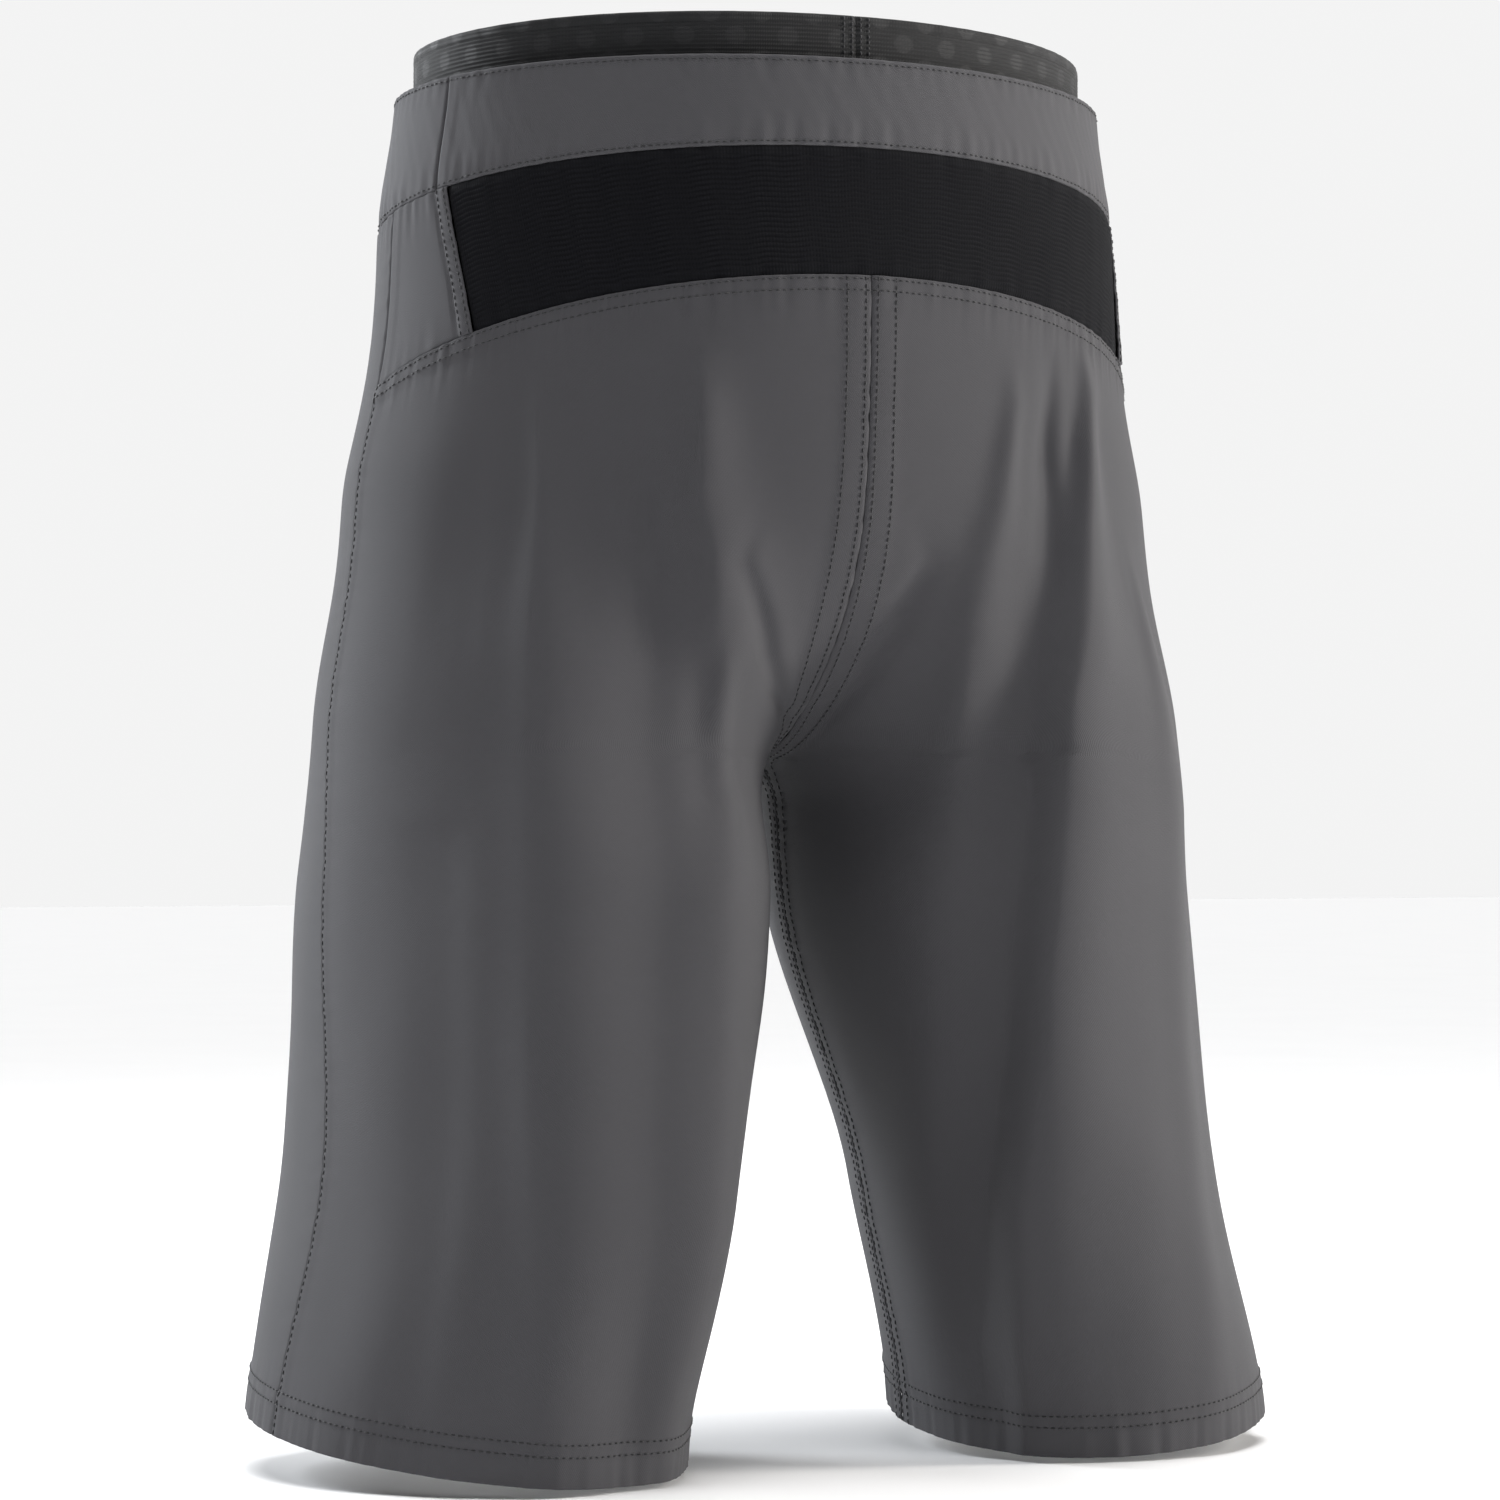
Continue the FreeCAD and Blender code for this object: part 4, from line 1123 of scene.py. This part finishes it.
def elastic(name, colour):
    """Woven elastic with a tonal lozenge pattern."""
    n = Nodes(name, Sheen_Weight=0.12, Sheen_Roughness=0.5, Specular_IOR_Level=0.35)
    flat = n.cloth_at((1.0, 1.0, 1.0))
    ribs = n.wave(flat, 1.7, "Y")
    ends = n.wave(flat, 0.6, "X")
    turned = n.add("ShaderNodeMapping", {"Vector": flat, "Rotation": (0, 0, math.radians(45))}).outputs[0]
    lozenge = n.math("MULTIPLY", n.wave(turned, 13.0, "X"), n.wave(turned, 13.0, "Y"))
    lozenge = n.add("ShaderNodeMapRange", {"Value": lozenge, "From Min": 0.34, "From Max": 0.46},
                    clamp=True).outputs[0]
    amount = n.math("ADD", n.math("MULTIPLY", ribs, 0.3), n.math("MULTIPLY", ends, 0.3))
    amount = n.math("ADD", amount, n.math("MULTIPLY", lozenge, 0.3))
    n.colour(shade(colour, 0.75), shade(colour, 1.3), amount)
    n.rough(n.spread(lozenge, 0.74, 0.62))
    n.bump(n.math("MULTIPLY", ribs, ends), 0.00015)
    return n.material


def foam_knit(name, colour):
    n = Nodes(name, Sheen_Weight=0.18, Sheen_Roughness=0.5, Specular_IOR_Level=0.3)
    place = n.solid_at(1000.0)
    cells = n.add("ShaderNodeTexVoronoi", {"Vector": place, "Scale": 0.62}).outputs["Distance"]
    fine = n.noise(place, 0.9, 3.0)
    slow = n.noise(place, 0.02, 2.0)
    amount = n.math("ADD", n.math("MULTIPLY", cells, 0.55), n.math("MULTIPLY", slow, 0.4))
    n.colour(shade(colour, 0.72), shade(colour, 1.3), amount)
    n.rough(n.spread(fine, 0.68, 0.86))
    n.bump(cells, 0.00022, 0.7)
    n.bump(fine, 0.00008, 0.6)
    return n.material


materials = {
    "shell": woven("shell_cloth", (0.058, 0.057, 0.0625), thread=0.55),
    "band": woven("waistband_cloth", (0.068, 0.067, 0.073), thread=0.6),
    "rib": knit("stretch_rib", (0.0050, 0.0052, 0.0068), wale=1.3, course=2.0, contrast=0.35,
                sheen=0.02, roughness=0.88),
    "elastic": elastic("liner_elastic", (0.0080, 0.0083, 0.0096)),
    "mesh": knit("liner_mesh", (0.020, 0.020, 0.024), wale=1.9, course=1.6, contrast=0.4, holes=0.45),
    "gripper": knit("gripper_elastic", (0.020, 0.020, 0.025), wale=0.9, course=1.9, contrast=0.3),
    "foam": foam_knit("impact_foam", (0.034, 0.034, 0.040)),
    "chamois": foam_knit("chamois_knit", (0.055, 0.056, 0.066)),
    "tape": knit("zip_tape", (0.016, 0.016, 0.018), wale=0.7, course=0.7, contrast=0.3),
    "lining": knit("pocket_lining", (0.034, 0.034, 0.040), wale=1.0, course=0.8, contrast=0.35, holes=0.3),
    "metal": grained("dark_metal", (0.085, 0.085, 0.092), (0.8, 4.0), (4.0, 2.0), (0.8, 1.3),
                     (0.26, 0.46), (0.00003, 0.5), Metallic=0.9, Specular_IOR_Level=0.5),
    "plastic": grained("zip_plastic", (0.020, 0.020, 0.022), (3.0, 3.0), (3.0, 3.0), (0.8, 1.25),
                       (0.38, 0.55), (0.00004, 0.6), Specular_IOR_Level=0.45),
    "thread": thread_material("sewing_thread", (0.013, 0.013, 0.015)),
    "thread_liner": thread_material("liner_thread", (0.030, 0.030, 0.034)),
}
# The first start of a name that fits says which material a piece has; the rest is shell.
BY_NAME = (("stitching_liner", "thread_liner"), ("stitching", "thread"), ("waistband_", "band"),
           ("waist_tab", "band"), ("back_stretch", "rib"), ("liner_waistband", "elastic"),
           ("liner_gripper", "gripper"), ("liner_", "mesh"), ("fly_tape", "tape"),
           ("pocket_bag", "lining"), ("chamois", "chamois"), ("hip_pad", "foam"), ("thigh_pad", "foam"),
           ("seat_pad", "foam"), ("tailbone_pad", "foam"), ("fly_teeth", "plastic"),
           ("fly_stops", "plastic"), ("fly_slider", "metal"), ("fly_pull", "metal"), ("snap_", "metal"))


def finish_for(name):
    for start, key in BY_NAME:
        if name.startswith(start):
            return materials[key]
    return materials["shell"]


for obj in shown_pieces():
    if obj.data.materials:
        for i in range(len(obj.data.materials)):
            obj.material_slots[i].material = finish_for(obj.name)
    else:
        obj.data.materials.append(finish_for(obj.name))

# ---- floor, light and camera ----------------------------------------------------------
floor_mesh = bpy.data.meshes.new("floor")
half_floor = 14.0
floor_mesh.from_pydata([(-half_floor, -half_floor, 0), (half_floor, -half_floor, 0),
                        (half_floor, half_floor, 0), (-half_floor, half_floor, 0)], [], [(0, 1, 2, 3)])
floor = bpy.data.objects.new("floor", floor_mesh)
floor.location.z = -0.5615
bpy.context.scene.collection.objects.link(floor)
n = Nodes("floor_paper", Specular_IOR_Level=0.1)
n.colour((0.90, 0.90, 0.905), (0.93, 0.93, 0.932), n.noise(n.solid_at(6.0), 1.0, 3.0))
n.rough(n.spread(n.noise(n.solid_at(40.0), 1.0, 2.0), 0.86, 0.95))
floor_mesh.materials.append(n.material)

world = bpy.data.worlds.new("studio")
bpy.context.scene.world = world
world.use_nodes = True
sky = world.node_tree
direction = add_node(sky, "ShaderNodeTexCoord").outputs["Generated"]
height = add_node(sky, "ShaderNodeSeparateXYZ", {0: direction}).outputs["Z"]
level = add_node(sky, "ShaderNodeMath", {0: height}, operation="ABSOLUTE").outputs[0]
fade = add_node(sky, "ShaderNodeMapRange", {"Value": level, "From Min": 0.18, "From Max": 0.42,
                                            "To Min": 0.90, "To Max": 0.04},
                interpolation_type="SMOOTHSTEP")
sky.nodes["Background"].inputs["Color"].default_value = (1.0, 1.0, 1.0, 1)
sky.links.new(fade.outputs[0], sky.nodes["Background"].inputs["Strength"])


def aimed(name, kind, where, aim, colour):
    light = bpy.data.lights.new(name, kind)
    light.color = colour
    obj = bpy.data.objects.new(name, light)
    obj.location = where
    obj.rotation_euler = (Vector(aim) - Vector(where)).to_track_quat("-Z", "Y").to_euler()
    bpy.context.scene.collection.objects.link(obj)
    return light


def softbox(name, where, aim, size, power, colour=(1, 1, 1)):
    light = aimed(name, "AREA", where, aim, colour)
    light.shape = "RECTANGLE"
    light.size, light.size_y = size
    light.energy = power


overhead = aimed("overhead", "SUN", (0, 0, 3), (0, 0, 0), (1, 1, 1))
overhead.energy, overhead.angle = 2.9, math.radians(40)
softbox("key_right", (-1.90, 0.75, 0.20), (0, 0, -0.25), (0.4, 1.3), 40, (1.0, 0.965, 0.92))
softbox("fill_left", (1.25, -1.50, 0.55), (0, 0, -0.15), (0.5, 1.0), 44, (0.93, 0.965, 1.0))
softbox("front", (-0.9, -1.9, 0.7), (0, 0, -0.25), (1.0, 1.0), 10)

camera_data = bpy.data.cameras.new("camera")
camera_data.lens = 119.3
camera_data.sensor_width = 36.0
camera_data.shift_x = 0.0009
camera_data.clip_start, camera_data.clip_end = 0.05, 60.0
camera = bpy.data.objects.new("camera", camera_data)
bpy.context.scene.collection.objects.link(camera)
bpy.context.scene.camera = camera
azimuth, pitch = math.radians(25.029), math.radians(0.908)
camera.location = (0.8885, 1.9028, -0.30236)
look = Vector((-math.sin(azimuth) * math.cos(pitch), -math.cos(azimuth) * math.cos(pitch),
               math.sin(pitch)))
camera.rotation_euler = look.to_track_quat("-Z", "Y").to_euler()
bpy.context.scene.view_settings.view_transform = "Standard"
